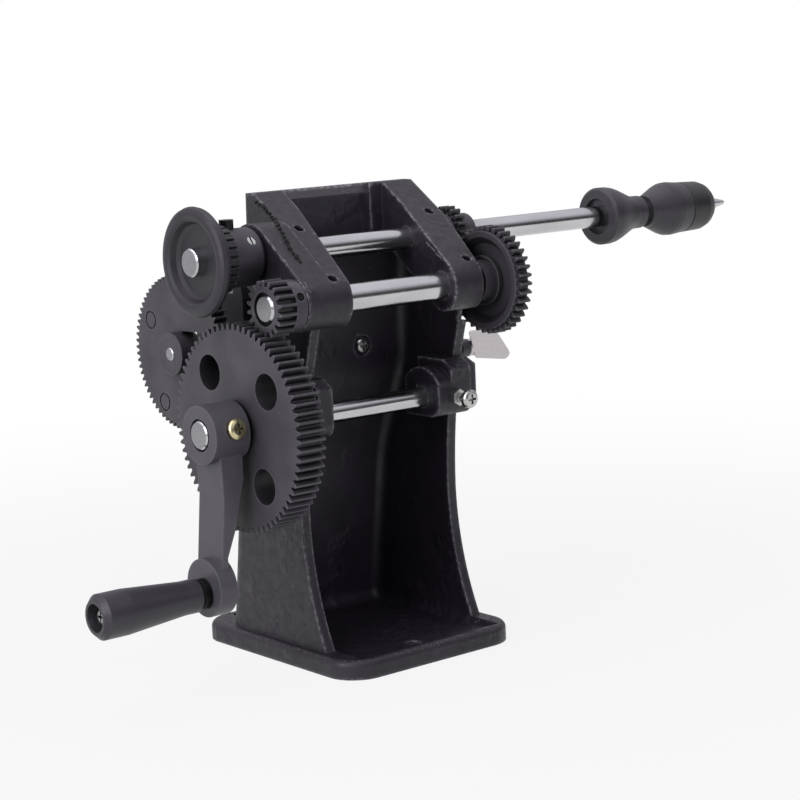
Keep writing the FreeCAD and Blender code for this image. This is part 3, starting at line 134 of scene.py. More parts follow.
def paper_material():
    """White paper sweep: lit and shaded near the machine, pure white far from it."""
    material, tree = new_material("white_paper_sweep")
    place = add(tree, "ShaderNodeTexCoord").outputs["Object"]
    away = add(tree, "ShaderNodeVectorMath", {0: place}, operation="LENGTH")
    glow_part = add(
        tree,
        "ShaderNodeMapRange",
        {
            "Value": away.outputs["Value"],
            "From Min": NEAR_PAPER,
            "From Max": FAR_PAPER,
            "To Min": NEAR_GLOW,
            "To Max": 1.0,
        },
        interpolation_type="SMOOTHSTEP",
    )
    rays = add(tree, "ShaderNodeLightPath").outputs
    seen = add(
        tree, "ShaderNodeMath", {0: rays["Is Camera Ray"], 1: rays["Is Glossy Ray"]}, operation="MAXIMUM"
    )
    seen = add(
        tree, "ShaderNodeMath", {0: seen.outputs[0], 1: rays["Is Transmission Ray"]}, operation="MAXIMUM"
    )
    part = add(
        tree, "ShaderNodeMath", {0: seen.outputs[0], 1: glow_part.outputs[0]}, operation="MULTIPLY"
    )
    paper = add(tree, "ShaderNodeBsdfDiffuse", {"Color": colour("#CFCED3")})
    glow = add(tree, "ShaderNodeEmission", {"Color": colour("#FFFFFF"), "Strength": 1.0})
    mix = add(tree, "ShaderNodeMixShader", {0: part.outputs[0], 1: paper.outputs[0], 2: glow.outputs[0]})
    add(tree, "ShaderNodeOutputMaterial", {"Surface": mix.outputs[0]})
    return material


floor_mesh = bpy.data.meshes.new("studio_floor")
corners = [(x * FLOOR_HALF, y * FLOOR_HALF, 0) for x, y in ((-1, -1), (1, -1), (1, 1), (-1, 1))]
floor_mesh.from_pydata(corners, [], [(0, 1, 2, 3)])
floor = bpy.data.objects.new("studio_floor", floor_mesh)
scene.collection.objects.link(floor)
floor.location.z = -FLOOR_DROP
floor_mesh.materials.append(paper_material())
print("floor", 2 * FLOOR_HALF, "m wide")

# %% [markdown]
# The photograph has its main light far to the left: the gear faces are the brightest dark surfaces,
# and the left wall keeps that light out of the frame, which stays almost black inside. A large soft
# box overhead and a fill in front do the rest. Large lamps close by give soft shadows and long, calm
# highlights. The fill is hidden from glossy rays: it brightens what is dull and leaves no highlight on
# metal, so the bars keep their dark line. The light is a little cool, as it was in the photograph.

# %% Lamps
LAMP_TINT = colour("#FAF7FF")
MIDDLE = Vector((0.02, 0.0, 0.12))


def soft_lamp(name, place, size, watts, mirrored=True):
    """A square lamp that faces the machine, in metres and watts."""
    lamp = bpy.data.lights.new(name, "AREA")
    lamp.size = size
    lamp.energy = watts
    lamp.color = LAMP_TINT[:3]
    holder = bpy.data.objects.new(name, lamp)
    scene.collection.objects.link(holder)
    holder.location = place
    aim = (MIDDLE - Vector(place)).to_track_quat("-Z", "Y")
    holder.rotation_euler = aim.to_euler()
    holder.visible_glossy = mirrored
    print(name, size, "m,", watts, "W")


soft_lamp("key_left", place=(-1.75, -0.35, 0.85), size=1.3, watts=22)
soft_lamp("top_softbox", place=(-0.3, 0.1, 1.6), size=1.6, watts=9.5)
soft_lamp("front_fill", place=(-0.2, -1.7, 0.5), size=1.2, watts=11, mirrored=False)

# %% [markdown]
# A polished bar is a mirror of the room, so the room has to be there. The world is white above the
# machine, softer behind it and nearly dark in front, where the photographer stands. That dark part
# draws the dark line along the middle of each bar. The world is plain white to the camera and
# through glass, and what it adds as light is a third of what the mirrors see.

# %% World
ROOM_BEHIND = 0.62
ROOM_ABOVE = 0.37
ROOM_FRONT = 0.54
ROOM_LIGHT = 0.33

world = bpy.data.worlds.new("white_studio")
scene.world = world
world.use_nodes = True
tree = world.node_tree
tree.nodes.clear()
toward = add(tree, "ShaderNodeTexCoord").outputs["Generated"]
toward = add(tree, "ShaderNodeSeparateXYZ", {0: toward}).outputs
above = add(
    tree,
    "ShaderNodeMapRange",
    {"Value": toward["Z"], "From Min": 0.2, "From Max": 0.7},
    interpolation_type="SMOOTHSTEP",
)
front = add(
    tree,
    "ShaderNodeMapRange",
    {"Value": toward["Y"], "From Min": -0.1, "From Max": -0.5},
    interpolation_type="SMOOTHSTEP",
)
low = add(tree, "ShaderNodeMath", {0: 1.0, 1: above.outputs[0]}, operation="SUBTRACT")
dim = add(tree, "ShaderNodeMath", {0: front.outputs[0], 1: low.outputs[0]}, operation="MULTIPLY")
room = add(
    tree,
    "ShaderNodeMath",
    {0: above.outputs[0], 1: ROOM_ABOVE, 2: ROOM_BEHIND},
    operation="MULTIPLY_ADD",
)
room = add(
    tree,
    "ShaderNodeMath",
    {0: dim.outputs[0], 1: -ROOM_FRONT, 2: room.outputs[0]},
    operation="MULTIPLY_ADD",
)
rays = add(tree, "ShaderNodeLightPath").outputs
shiny = add(tree, "ShaderNodeMix", {0: rays["Is Glossy Ray"], 2: ROOM_LIGHT, 3: 1.0}, data_type="FLOAT")
level = add(tree, "ShaderNodeMath", {0: room.outputs[0], 1: shiny.outputs[0]}, operation="MULTIPLY")
seen = add(
    tree,
    "ShaderNodeMath",
    {0: rays["Is Camera Ray"], 1: rays["Is Transmission Ray"]},
    operation="MAXIMUM",
)
level = add(tree, "ShaderNodeMix", {0: seen.outputs[0], 2: level.outputs[0], 3: 1.0}, data_type="FLOAT")
tint = add(
    tree,
    "ShaderNodeMix",
    {0: seen.outputs[0], 6: LAMP_TINT, 7: colour("#FFFFFF")},
    data_type="RGBA",
)
sky = add(tree, "ShaderNodeBackground", {"Color": tint.outputs[2], "Strength": level.outputs[0]})
add(tree, "ShaderNodeOutputWorld", {"Surface": sky.outputs[0]})
scene.view_settings.view_transform = "Standard"
print("world nodes", len(tree.nodes))

# %% [markdown]
# ## What every finish shares
# No real edge is perfectly sharp. A Bevel node bends the shading normal near an edge, as if it had a
# small radius, so each edge catches a thin line of light. Edges are also where paint chips and plate
# rubs off. Ambient Occlusion turned to the inside finds them: near an outer edge its short rays soon
# leave the metal. Both look at the shape itself, so they hold from every side. The CAD record names
# a finish for each part, and a dictionary keeps the material that belongs to each of those names.

# %% Edge and noise helpers
def edges(tree, round_mm, wear_mm):
    """Normal with rounded edges, and a value that falls from 1 towards 0 at outer edges."""
    soft = add(tree, "ShaderNodeBevel", {"Radius": round_mm / 1000}, samples=4)
    inside = add(
        tree,
        "ShaderNodeAmbientOcclusion",
        {"Distance": wear_mm / 1000},
        samples=4,
        inside=True,
        only_local=True,
    )
    return soft.outputs["Normal"], inside.outputs["AO"]


def grain(tree, size_mm, detail=2.0, stretch=(1.0, 1.0, 1.0)):
    """Noise whose blotches are about size_mm across; stretch under 1 draws them out along that axis."""
    place = add(tree, "ShaderNodeTexCoord").outputs["Object"]
    place = add(tree, "ShaderNodeMapping", {"Vector": place, "Scale": stretch}).outputs[0]
    noise = add(
        tree, "ShaderNodeTexNoise", {"Vector": place, "Scale": 1000 / (2 * size_mm), "Detail": detail}
    )
    return noise.outputs[0]


FINISHES = {}


def keep_finish(slot, material):
    """Keep a material under the slot name that the CAD record uses."""
    FINISHES[slot] = material
    print(slot, "is", material.name, "with", len(material.node_tree.nodes), "nodes")


# %% [markdown]
# ## Cast iron under black enamel
# The frame was cast in sand, so its skin is uneven: slow waves from the mould, and the grit of the
# sand where it was not dressed. One coat of black enamel rounds this off. It chips first along the
# edges, where dull grey iron shows. A scan of a casting could give such a skin, but noises at real
# sizes, from half a millimetre to twelve, are sharp at every distance and cover every side.

# %% Sand-cast enamel
SKIN_WAVE_MM = 9
SAND_LUMP_MM = 1.6
SAND_GRIT_MM = 0.5
ROUGH_PATCH_MM = 12
CHIP_MM = 0.9
EDGE_CHIPPING = 0.32


def sand_cast_enamel(name, worn):
    """Black enamel on sand-cast iron: near black, low gloss, gritty in patches, grey at worn edges."""
    material, tree = new_material(name)
    normal, inside = edges(tree, round_mm=0.9, wear_mm=2.4)
    waves = grain(tree, SKIN_WAVE_MM, detail=1.0)
    lumps = grain(tree, SAND_LUMP_MM, detail=3.0)
    grit = grain(tree, SAND_GRIT_MM, detail=2.0)
    patches = grain(tree, ROUGH_PATCH_MM, detail=3.0)
    chips = grain(tree, CHIP_MM, detail=5.0)
    rough_here = add(
        tree,
        "ShaderNodeMapRange",
        {"Value": patches, "From Min": 0.57, "From Max": 0.67, "To Min": 0.0, "To Max": 1.0},
    ).outputs[0]
    near_edge = add(
        tree, "ShaderNodeMapRange", {"Value": inside, "From Min": 0.85, "From Max": 0.35, "To Max": worn}
    ).outputs[0]
    rough_here = add(
        tree, "ShaderNodeMath", {0: rough_here, 1: near_edge}, operation="MAXIMUM"
    ).outputs[0]
    lump_height = add(tree, "ShaderNodeMath", {0: lumps, 1: rough_here}, operation="MULTIPLY").outputs[0]
    chip = add(
        tree, "ShaderNodeMath", {0: near_edge, 1: EDGE_CHIPPING, 2: chips}, operation="MULTIPLY_ADD"
    ).outputs[0]
    chip = add(
        tree, "ShaderNodeMapRange", {"Value": chip, "From Min": 0.73, "From Max": 0.78}
    ).outputs[0]
    paint = add(
        tree, "ShaderNodeMix", {0: waves, 6: colour("#121015"), 7: colour("#252129")}, data_type="RGBA"
    ).outputs[2]
    rubbed = add(tree, "ShaderNodeMath", {0: near_edge, 1: lumps}, operation="MULTIPLY").outputs[0]
    paint = add(
        tree, "ShaderNodeMix", {0: rubbed, 6: paint, 7: colour("#5A575F")}, data_type="RGBA"
    ).outputs[2]
    paint = add(
        tree, "ShaderNodeMix", {0: chip, 6: paint, 7: colour("#848286")}, data_type="RGBA"
    ).outputs[2]
    roughness = add(
        tree,
        "ShaderNodeMapRange",
        {"Value": lumps, "From Min": 0.3, "From Max": 0.7, "To Min": 0.42, "To Max": 0.6},
    ).outputs[0]
    bump = add(
        tree, "ShaderNodeBump", {"Height": waves, "Strength": 0.35, "Distance": 0.0015, "Normal": normal}
    ).outputs[0]
    bump = add(
        tree,
        "ShaderNodeBump",
        {"Height": lump_height, "Strength": 0.9, "Distance": 0.0011, "Normal": bump},
    ).outputs[0]
    bump = add(
        tree, "ShaderNodeBump", {"Height": grit, "Strength": 0.08, "Distance": 0.0002, "Normal": bump}
    ).outputs[0]
    skin = add(
        tree,
        "ShaderNodeBsdfPrincipled",
        {"Base Color": paint, "Roughness": roughness, "IOR": 1.5, "Normal": bump},
    )
    add(tree, "ShaderNodeOutputMaterial", {"Surface": skin.outputs[0]})
    return material


keep_finish("cast_enamel", sand_cast_enamel("black_enamel_on_sand_cast_iron", worn=1.0))

# %% [markdown]
# ## Blackened gear steel
# The gears, the hand disc and its collar have a dark chemical coat, matte and a little grey, of the
# kind called phosphate. It holds oil, so it looks blotchy, and it rubs to bare metal on the tips of
# the teeth. The outer kind of Ambient Occlusion darkens the coat twice: with a short reach the tooth
# roots and narrow recesses go darker, and with a long reach the deep places between parts take a
# painted shade, near black.

# %% Phosphated steel
BLOTCH_MM = 7
CRYSTAL_MM = 0.35
ROOT_DARK_MM = 3
DEEP_SHADE_MM = 20
# Near-black colour: the painted shade deep between parts, and the darker tooth roots.
PAINTED_SHADE_AND_ROOT_DARK = colour("#121113")
TIP_METAL = 0.8


def phosphated_steel(name, dark, light):
    """Zinc-phosphated steel: matte dark grey, blotchy with oil, bright on edges and tooth tips."""
    material, tree = new_material(name)
    normal, inside = edges(tree, round_mm=0.35, wear_mm=0.7)
    blotch = grain(tree, BLOTCH_MM, detail=3.0)
    crystal = grain(tree, CRYSTAL_MM, detail=3.0)
    tip = add(tree, "ShaderNodeMapRange", {"Value": inside, "From Min": 0.8, "From Max": 0.3}).outputs[0]
    tip = add(tree, "ShaderNodeMath", {0: tip, 1: crystal}, operation="MULTIPLY").outputs[0]
    # A short reach of Ambient Occlusion finds the tooth roots and narrow recesses, which go darker.
    hidden = add(
        tree, "ShaderNodeAmbientOcclusion", {"Distance": ROOT_DARK_MM / 1000}, samples=4
    ).outputs["AO"]
    # Painted shade: a long reach of Ambient Occlusion finds the deep places between parts, where the coat
    # goes near black.
    deep = add(
        tree, "ShaderNodeAmbientOcclusion", {"Distance": DEEP_SHADE_MM / 1000}, samples=4
    ).outputs["AO"]
    coat = add(
        tree, "ShaderNodeMix", {0: blotch, 6: colour(dark), 7: colour(light)}, data_type="RGBA"
    ).outputs[2]
    out_of_shade = add(
        tree, "ShaderNodeMapRange", {"Value": deep, "From Min": 0.2, "From Max": 0.96}
    ).outputs[0]
    coat = add(tree, "ShaderNodeMix", {0: out_of_shade, 6: PAINTED_SHADE_AND_ROOT_DARK, 7: coat}, data_type="RGBA").outputs[2]
    coat = add(
        tree, "ShaderNodeMix", {0: tip, 6: coat, 7: colour("#96949A")}, data_type="RGBA"
    ).outputs[2]
    root = add(
        tree, "ShaderNodeMapRange", {"Value": hidden, "From Min": 0.25, "From Max": 0.8}
    ).outputs[0]
    coat = add(tree, "ShaderNodeMix", {0: root, 6: PAINTED_SHADE_AND_ROOT_DARK, 7: coat}, data_type="RGBA").outputs[2]
    shine = add(tree, "ShaderNodeMath", {0: tip, 1: TIP_METAL}, operation="MULTIPLY").outputs[0]
    roughness = add(
        tree,
        "ShaderNodeMapRange",
        {"Value": blotch, "From Min": 0.3, "From Max": 0.7, "To Min": 0.58, "To Max": 0.46},
    ).outputs[0]
    bump = add(
        tree,
        "ShaderNodeBump",
        {"Height": crystal, "Strength": 0.25, "Distance": 0.0002, "Normal": normal},
    ).outputs[0]
    skin = add(
        tree,
        "ShaderNodeBsdfPrincipled",
        {"Base Color": coat, "Metallic": shine, "Roughness": roughness, "IOR": 1.5, "Normal": bump},
    )
    add(tree, "ShaderNodeOutputMaterial", {"Surface": skin.outputs[0]})
    return material


keep_finish("dark_gear", phosphated_steel("phosphated_gear_steel", dark="#302E33", light="#49464C"))

# %% [markdown]
# ## Ground steel
# The shafts were ground between centres. The wheel leaves fine rings round the bar, far too fine to
# see one by one, which blur a reflection along the bar and keep it sharp across. Noise stretched
# round the bar gives the rings, drawn coarser than they are so that they show. The ends were only
# turned and cut, so they are duller.

# %% Ground steel
RING_MM = 0.3
SMEAR_MM = 5.0
CUT_MARK_MM = 0.5
ENDS_ROUGHER = 0.25


def ground_steel():
    """Ground steel bar: bright, long soft highlights with thin rings, duller at the cut ends."""
    material, tree = new_material("ground_steel_bar")
    normal, inside = edges(tree, round_mm=0.25, wear_mm=0.5)
    rings = grain(tree, RING_MM, detail=2.0, stretch=(1.0, 0.04, 0.04))
    smears = grain(tree, SMEAR_MM, detail=3.0, stretch=(0.3, 1.0, 1.0))
    turned = grain(tree, CUT_MARK_MM, detail=3.0)
    facing = add(tree, "ShaderNodeNewGeometry").outputs["Normal"]
    facing = add(tree, "ShaderNodeSeparateXYZ", {0: facing}).outputs["X"]
    facing = add(tree, "ShaderNodeMath", {0: facing}, operation="ABSOLUTE").outputs[0]
    end = add(
        tree, "ShaderNodeMapRange", {"Value": facing, "From Min": 0.8, "From Max": 0.95}
    ).outputs[0]
    metal = add(
        tree, "ShaderNodeMix", {0: smears, 6: colour("#A6A6A8"), 7: colour("#D0D0D2")}, data_type="RGBA"
    ).outputs[2]
    cut = add(
        tree, "ShaderNodeMix", {0: turned, 6: colour("#838386"), 7: colour("#A9A9AC")}, data_type="RGBA"
    ).outputs[2]
    metal = add(tree, "ShaderNodeMix", {0: end, 6: metal, 7: cut}, data_type="RGBA").outputs[2]
    roughness = add(
        tree,
        "ShaderNodeMapRange",
        {"Value": rings, "From Min": 0.3, "From Max": 0.7, "To Min": 0.14, "To Max": 0.23},
    ).outputs[0]
    roughness = add(
        tree, "ShaderNodeMath", {0: end, 1: ENDS_ROUGHER, 2: roughness}, operation="MULTIPLY_ADD"
    ).outputs[0]
    bump = add(
        tree, "ShaderNodeBump", {"Height": rings, "Strength": 0.12, "Distance": 0.0001, "Normal": normal}
    ).outputs[0]
    skin = add(
        tree,
        "ShaderNodeBsdfPrincipled",
        {"Base Color": metal, "Metallic": 1.0, "Roughness": roughness, "Normal": bump},
    )
    add(tree, "ShaderNodeOutputMaterial", {"Surface": skin.outputs[0]})
    return material


keep_finish("ground_steel", ground_steel())

# %% [markdown]
# ## Painted and turned dark parts
# The crank arm is a casting under a thicker, smoother satin paint. Sprayed paint has the faint
# dimples known as orange peel.

# %% Satin paint
ORANGE_PEEL_MM = 1.1
PAINT_CLOUD_MM = 10.0


def satin_paint():
    """Sprayed satin paint: even dark grey, faint orange peel, a little lighter where hands rub it."""
    material, tree = new_material("sprayed_satin_paint")
    normal, inside = edges(tree, round_mm=0.6, wear_mm=1.2)
    peel = grain(tree, ORANGE_PEEL_MM, detail=1.0)
    cloud = grain(tree, PAINT_CLOUD_MM, detail=2.0)
    rubbed = add(
        tree, "ShaderNodeMapRange", {"Value": inside, "From Min": 0.8, "From Max": 0.3, "To Max": 0.5}
    ).outputs[0]
    paint = add(
        tree, "ShaderNodeMix", {0: cloud, 6: colour("#403E43"), 7: colour("#4F4D52")}, data_type="RGBA"
    ).outputs[2]
    paint = add(
        tree, "ShaderNodeMix", {0: rubbed, 6: paint, 7: colour("#7C7C7F")}, data_type="RGBA"
    ).outputs[2]
    roughness = add(
        tree, "ShaderNodeMapRange", {"Value": cloud, "To Min": 0.5, "To Max": 0.38}
    ).outputs[0]
    bump = add(
        tree, "ShaderNodeBump", {"Height": peel, "Strength": 0.15, "Distance": 0.0003, "Normal": normal}
    ).outputs[0]
    skin = add(
        tree,
        "ShaderNodeBsdfPrincipled",
        {"Base Color": paint, "Roughness": roughness, "IOR": 1.5, "Normal": bump},
    )
    add(tree, "ShaderNodeOutputMaterial", {"Surface": skin.outputs[0]})
    return material


keep_finish("arm_paint", satin_paint())

# %% [markdown]
# The grip, the two cones and their nut were turned on a lathe and blackened, so their grain runs round
# the part. Noise that is stretched round the shafts' direction draws it, as on the ground bars.

# %% Turned black
LATHE_MM = 0.4
BLACK_CLOUD_MM = 8.0


def turned_black(name, dark, light):
    """Turned and blackened metal: near black satin with faint rings round the shafts' direction."""
    material, tree = new_material(name)
    normal, inside = edges(tree, round_mm=0.5, wear_mm=1.0)
    rings = grain(tree, LATHE_MM, detail=2.0, stretch=(1.0, 0.03, 0.03))
    cloud = grain(tree, BLACK_CLOUD_MM, detail=3.0)
    rubbed = add(
        tree, "ShaderNodeMapRange", {"Value": inside, "From Min": 0.8, "From Max": 0.3, "To Max": 0.45}
    ).outputs[0]
    black = add(
        tree, "ShaderNodeMix", {0: cloud, 6: colour(dark), 7: colour(light)}, data_type="RGBA"
    ).outputs[2]
    black = add(
        tree, "ShaderNodeMix", {0: rubbed, 6: black, 7: colour("#66666A")}, data_type="RGBA"
    ).outputs[2]
    roughness = add(
        tree, "ShaderNodeMapRange", {"Value": rings, "To Min": 0.36, "To Max": 0.5}
    ).outputs[0]
    bump = add(
        tree, "ShaderNodeBump", {"Height": rings, "Strength": 0.15, "Distance": 0.0001, "Normal": normal}
    ).outputs[0]
    skin = add(
        tree,
        "ShaderNodeBsdfPrincipled",
        {"Base Color": black, "Roughness": roughness, "IOR": 1.5, "Normal": bump},
    )
    add(tree, "ShaderNodeOutputMaterial", {"Surface": skin.outputs[0]})
    return material


keep_finish("black_satin", turned_black("turned_blackened_metal", dark="#27252A", light="#37353A"))

# %% [markdown]
# ## Screws and the reset key
# Small screws are steel with a thin plate of zinc, bright and slightly blue, or yellow where the zinc
# was passivated. Socket screws are left black from hardening. The reset key is stamped from sheet
# metal and tumbled, which leaves a satin skin. One function makes all four, because they differ only
# in colour and gloss: the recess of the head is darker, and the edges are rubbed bright. Each
# row below has a name, the two tints, the tint of rubbed edges and the least and greatest roughness.

# %% Plated metal
PLATE_MM = 0.5
RECESS_DARK_MM = 1.5
RECESS_DARK = colour("#2A2824")


def plated(name, dark, light, rubbed_to, smoothest, roughest):
    """Thin plate on small steel parts: blotches between two tints, darker recesses, bright edges."""
    material, tree = new_material(name)
    normal, inside = edges(tree, round_mm=0.2, wear_mm=0.4)
    blotch = grain(tree, PLATE_MM, detail=3.0)
    hidden = add(
        tree, "ShaderNodeAmbientOcclusion", {"Distance": RECESS_DARK_MM / 1000}, samples=4
    ).outputs["AO"]
    metal = add(
        tree, "ShaderNodeMix", {0: blotch, 6: colour(dark), 7: colour(light)}, data_type="RGBA"
    ).outputs[2]
    edge = add(
        tree, "ShaderNodeMapRange", {"Value": inside, "From Min": 0.8, "From Max": 0.3, "To Max": 0.6}
    ).outputs[0]
    metal = add(
        tree, "ShaderNodeMix", {0: edge, 6: metal, 7: colour(rubbed_to)}, data_type="RGBA"
    ).outputs[2]
    # The recess of the head goes darker where a short reach of Ambient Occlusion is blocked.
    outside_recess = add(
        tree, "ShaderNodeMapRange", {"Value": hidden, "From Min": 0.3, "From Max": 0.75}
    ).outputs[0]
    metal = add(tree, "ShaderNodeMix", {0: outside_recess, 6: RECESS_DARK, 7: metal}, data_type="RGBA").outputs[2]
    roughness = add(
        tree, "ShaderNodeMapRange", {"Value": blotch, "To Min": smoothest, "To Max": roughest}
    ).outputs[0]
    bump = add(
        tree, "ShaderNodeBump", {"Height": blotch, "Strength": 0.2, "Distance": 0.0001, "Normal": normal}
    ).outputs[0]
    skin = add(
        tree,
        "ShaderNodeBsdfPrincipled",
        {"Base Color": metal, "Metallic": 1.0, "Roughness": roughness, "Normal": bump},
    )
    add(tree, "ShaderNodeOutputMaterial", {"Surface": skin.outputs[0]})
    return material


PLATED = {
    "zinc": ("zinc_plated_steel", "#A9ABAA", "#D2D3CF", "#E4E4E2", 0.22, 0.42),
    "yellow_zinc": ("yellow_passivated_zinc", "#B5AC7C", "#E4DDB6", "#F2ECD0", 0.22, 0.42),
    "dark_screw": ("black_hardened_screw", "#232325", "#3B3B3D", "#77777A", 0.35, 0.5),
    "key_metal": ("tumbled_sheet_metal", "#B6B1B2", "#D4CFD0", "#E2DEDE", 0.34, 0.46),
}
for slot, look in PLATED.items():
    keep_finish(slot, plated(*look))

# %% [markdown]
# ## Plastics in the counter
# The number wheels and the little carry wheels are moulded plastic. Plastic that is not painted lets
# a little light in under its skin, which softens its shadows.

# %% Moulded plastic
MOULD_TEXTURE_MM = 0.4
MOULD_CLOUD_MM = 4.0
MOULD_ROUND_MM = 0.2
ROUGHNESS_SPREAD = 0.08


def moulded_plastic(name, code, roughness, glow_through):
    """Moulded plastic: even colour, fine mould texture, light that sinks in a little."""
    material, tree = new_material(name)
    normal = add(tree, "ShaderNodeBevel", {"Radius": MOULD_ROUND_MM / 1000}, samples=4).outputs["Normal"]
    texture = grain(tree, MOULD_TEXTURE_MM, detail=2.0)
    cloud = grain(tree, MOULD_CLOUD_MM, detail=2.0)
    tint = add(
        tree, "ShaderNodeMix", {0: cloud, 6: colour(code), 7: colour("#C9C7BE")}, data_type="RGBA"
    )
    roughness = add(
        tree,
        "ShaderNodeMapRange",
        {
            "Value": texture,
            "To Min": roughness - ROUGHNESS_SPREAD,
            "To Max": roughness + ROUGHNESS_SPREAD,
        },
    )
    bump = add(
        tree,
        "ShaderNodeBump",
        {"Height": texture, "Strength": 0.1, "Distance": 0.0001, "Normal": normal},
    )
    skin = add(
        tree,
        "ShaderNodeBsdfPrincipled",
        {
            "Base Color": tint.outputs[2],
            "Roughness": roughness.outputs[0],
            "IOR": 1.49,
            "Subsurface Weight": glow_through,
            "Subsurface Scale": 0.001,
            "Normal": bump.outputs[0],
        },
    )
    add(tree, "ShaderNodeOutputMaterial", {"Surface": skin.outputs[0]})
    return material


keep_finish("wheel_white", moulded_plastic("white_moulded_acetal", "#E8E8E4", 0.4, glow_through=0.1))
keep_finish("carry_plastic", moulded_plastic("natural_moulded_nylon", "#D8D3C4", 0.45, glow_through=0.2))

# %% [markdown]
# The pane over the figures is clear acrylic sheet with the faint haze of handling.

# %% Clear pane
HAZE_MM = 3.0


def clear_acrylic():
    """Clear acrylic sheet: sees through, with a slight haze that varies."""
    material, tree = new_material("clear_acrylic_sheet")
    haze = grain(tree, HAZE_MM, detail=3.0)
    roughness = add(tree, "ShaderNodeMapRange", {"Value": haze, "To Min": 0.02, "To Max": 0.1})
    skin = add(
        tree,
        "ShaderNodeBsdfPrincipled",
        {
            "Base Color": colour("#F2F5F4"),
            "Roughness": roughness.outputs[0],
            "IOR": 1.49,
            "Transmission Weight": 1.0,
        },
    )
    add(tree, "ShaderNodeOutputMaterial", {"Surface": skin.outputs[0]})
    return material


keep_finish("pane", clear_acrylic())

# %% [markdown]
# ## Giving each part its finish
# The CAD model says which finish each part takes, by a slot name. Two parts take a darker version of
# their finish, because the photograph shows the hand disc and the end nut darker than the rest.

# %% Assign the finishes
# These darker copies of two finishes paint shade on the hand disc and on the end nut.
PAINTED_SHADE_COPIES = {
    "hand_disc": phosphated_steel("oiled_phosphated_steel", dark="#1D1B20", light="#2C2A30"),
    "spindle_end_nut": turned_black("turned_blackened_nut", dark="#151417", light="#212023"),
}
for part in frame["record"]["subparts"]:
    piece = nodes[part["node"]]
    piece.data.materials.clear()
    piece.data.materials.append(PAINTED_SHADE_COPIES.get(part["node"], FINISHES[part["material_slot"]]))

# %% [markdown]
# ## Figures on the number wheels
# Each wheel of the counter carries the figures 0 to 9, printed round its rim. Geometry Nodes can set
# them: ten text nodes stand one above the other on a flat strip, and one formula rolls the strip on
# to the wheel, as a printing pad does. The zero faces the window, and the next figure follows from
# above when the wheel turns forward. The wheel's own box gives its radius and its place.

# %% Ink and the rolling tree
FIGURE_HIGH_MM = 8.5
INK_MM = 0.06
SPECKLE_MM = 0.3
OUTLINE_STEP = 0.08
SAME_POINT = 0.000001


def pad_printed_ink():
    """Pad-printed ink: flat black, slightly uneven where the pad lifted."""
    material, tree = new_material("pad_printed_black_ink")
    speckle = grain(tree, SPECKLE_MM, detail=3.0)
    ink = add(
        tree, "ShaderNodeMix", {0: speckle, 6: colour("#141416"), 7: colour("#2A2A2D")}, data_type="RGBA"
    )
    roughness = add(tree, "ShaderNodeMapRange", {"Value": speckle, "To Min": 0.45, "To Max": 0.65})
    skin = add(
        tree,
        "ShaderNodeBsdfPrincipled",
        {"Base Color": ink.outputs[2], "Roughness": roughness.outputs[0], "IOR": 1.5},
    )
    add(tree, "ShaderNodeOutputMaterial", {"Surface": skin.outputs[0]})
    return material


def tree_input(tree, label, kind="NodeSocketFloat"):
    """Give a Geometry Nodes tree a named input, and return the identifier that sets it."""
    return tree.interface.new_socket(label, in_out="INPUT", socket_type=kind).identifier


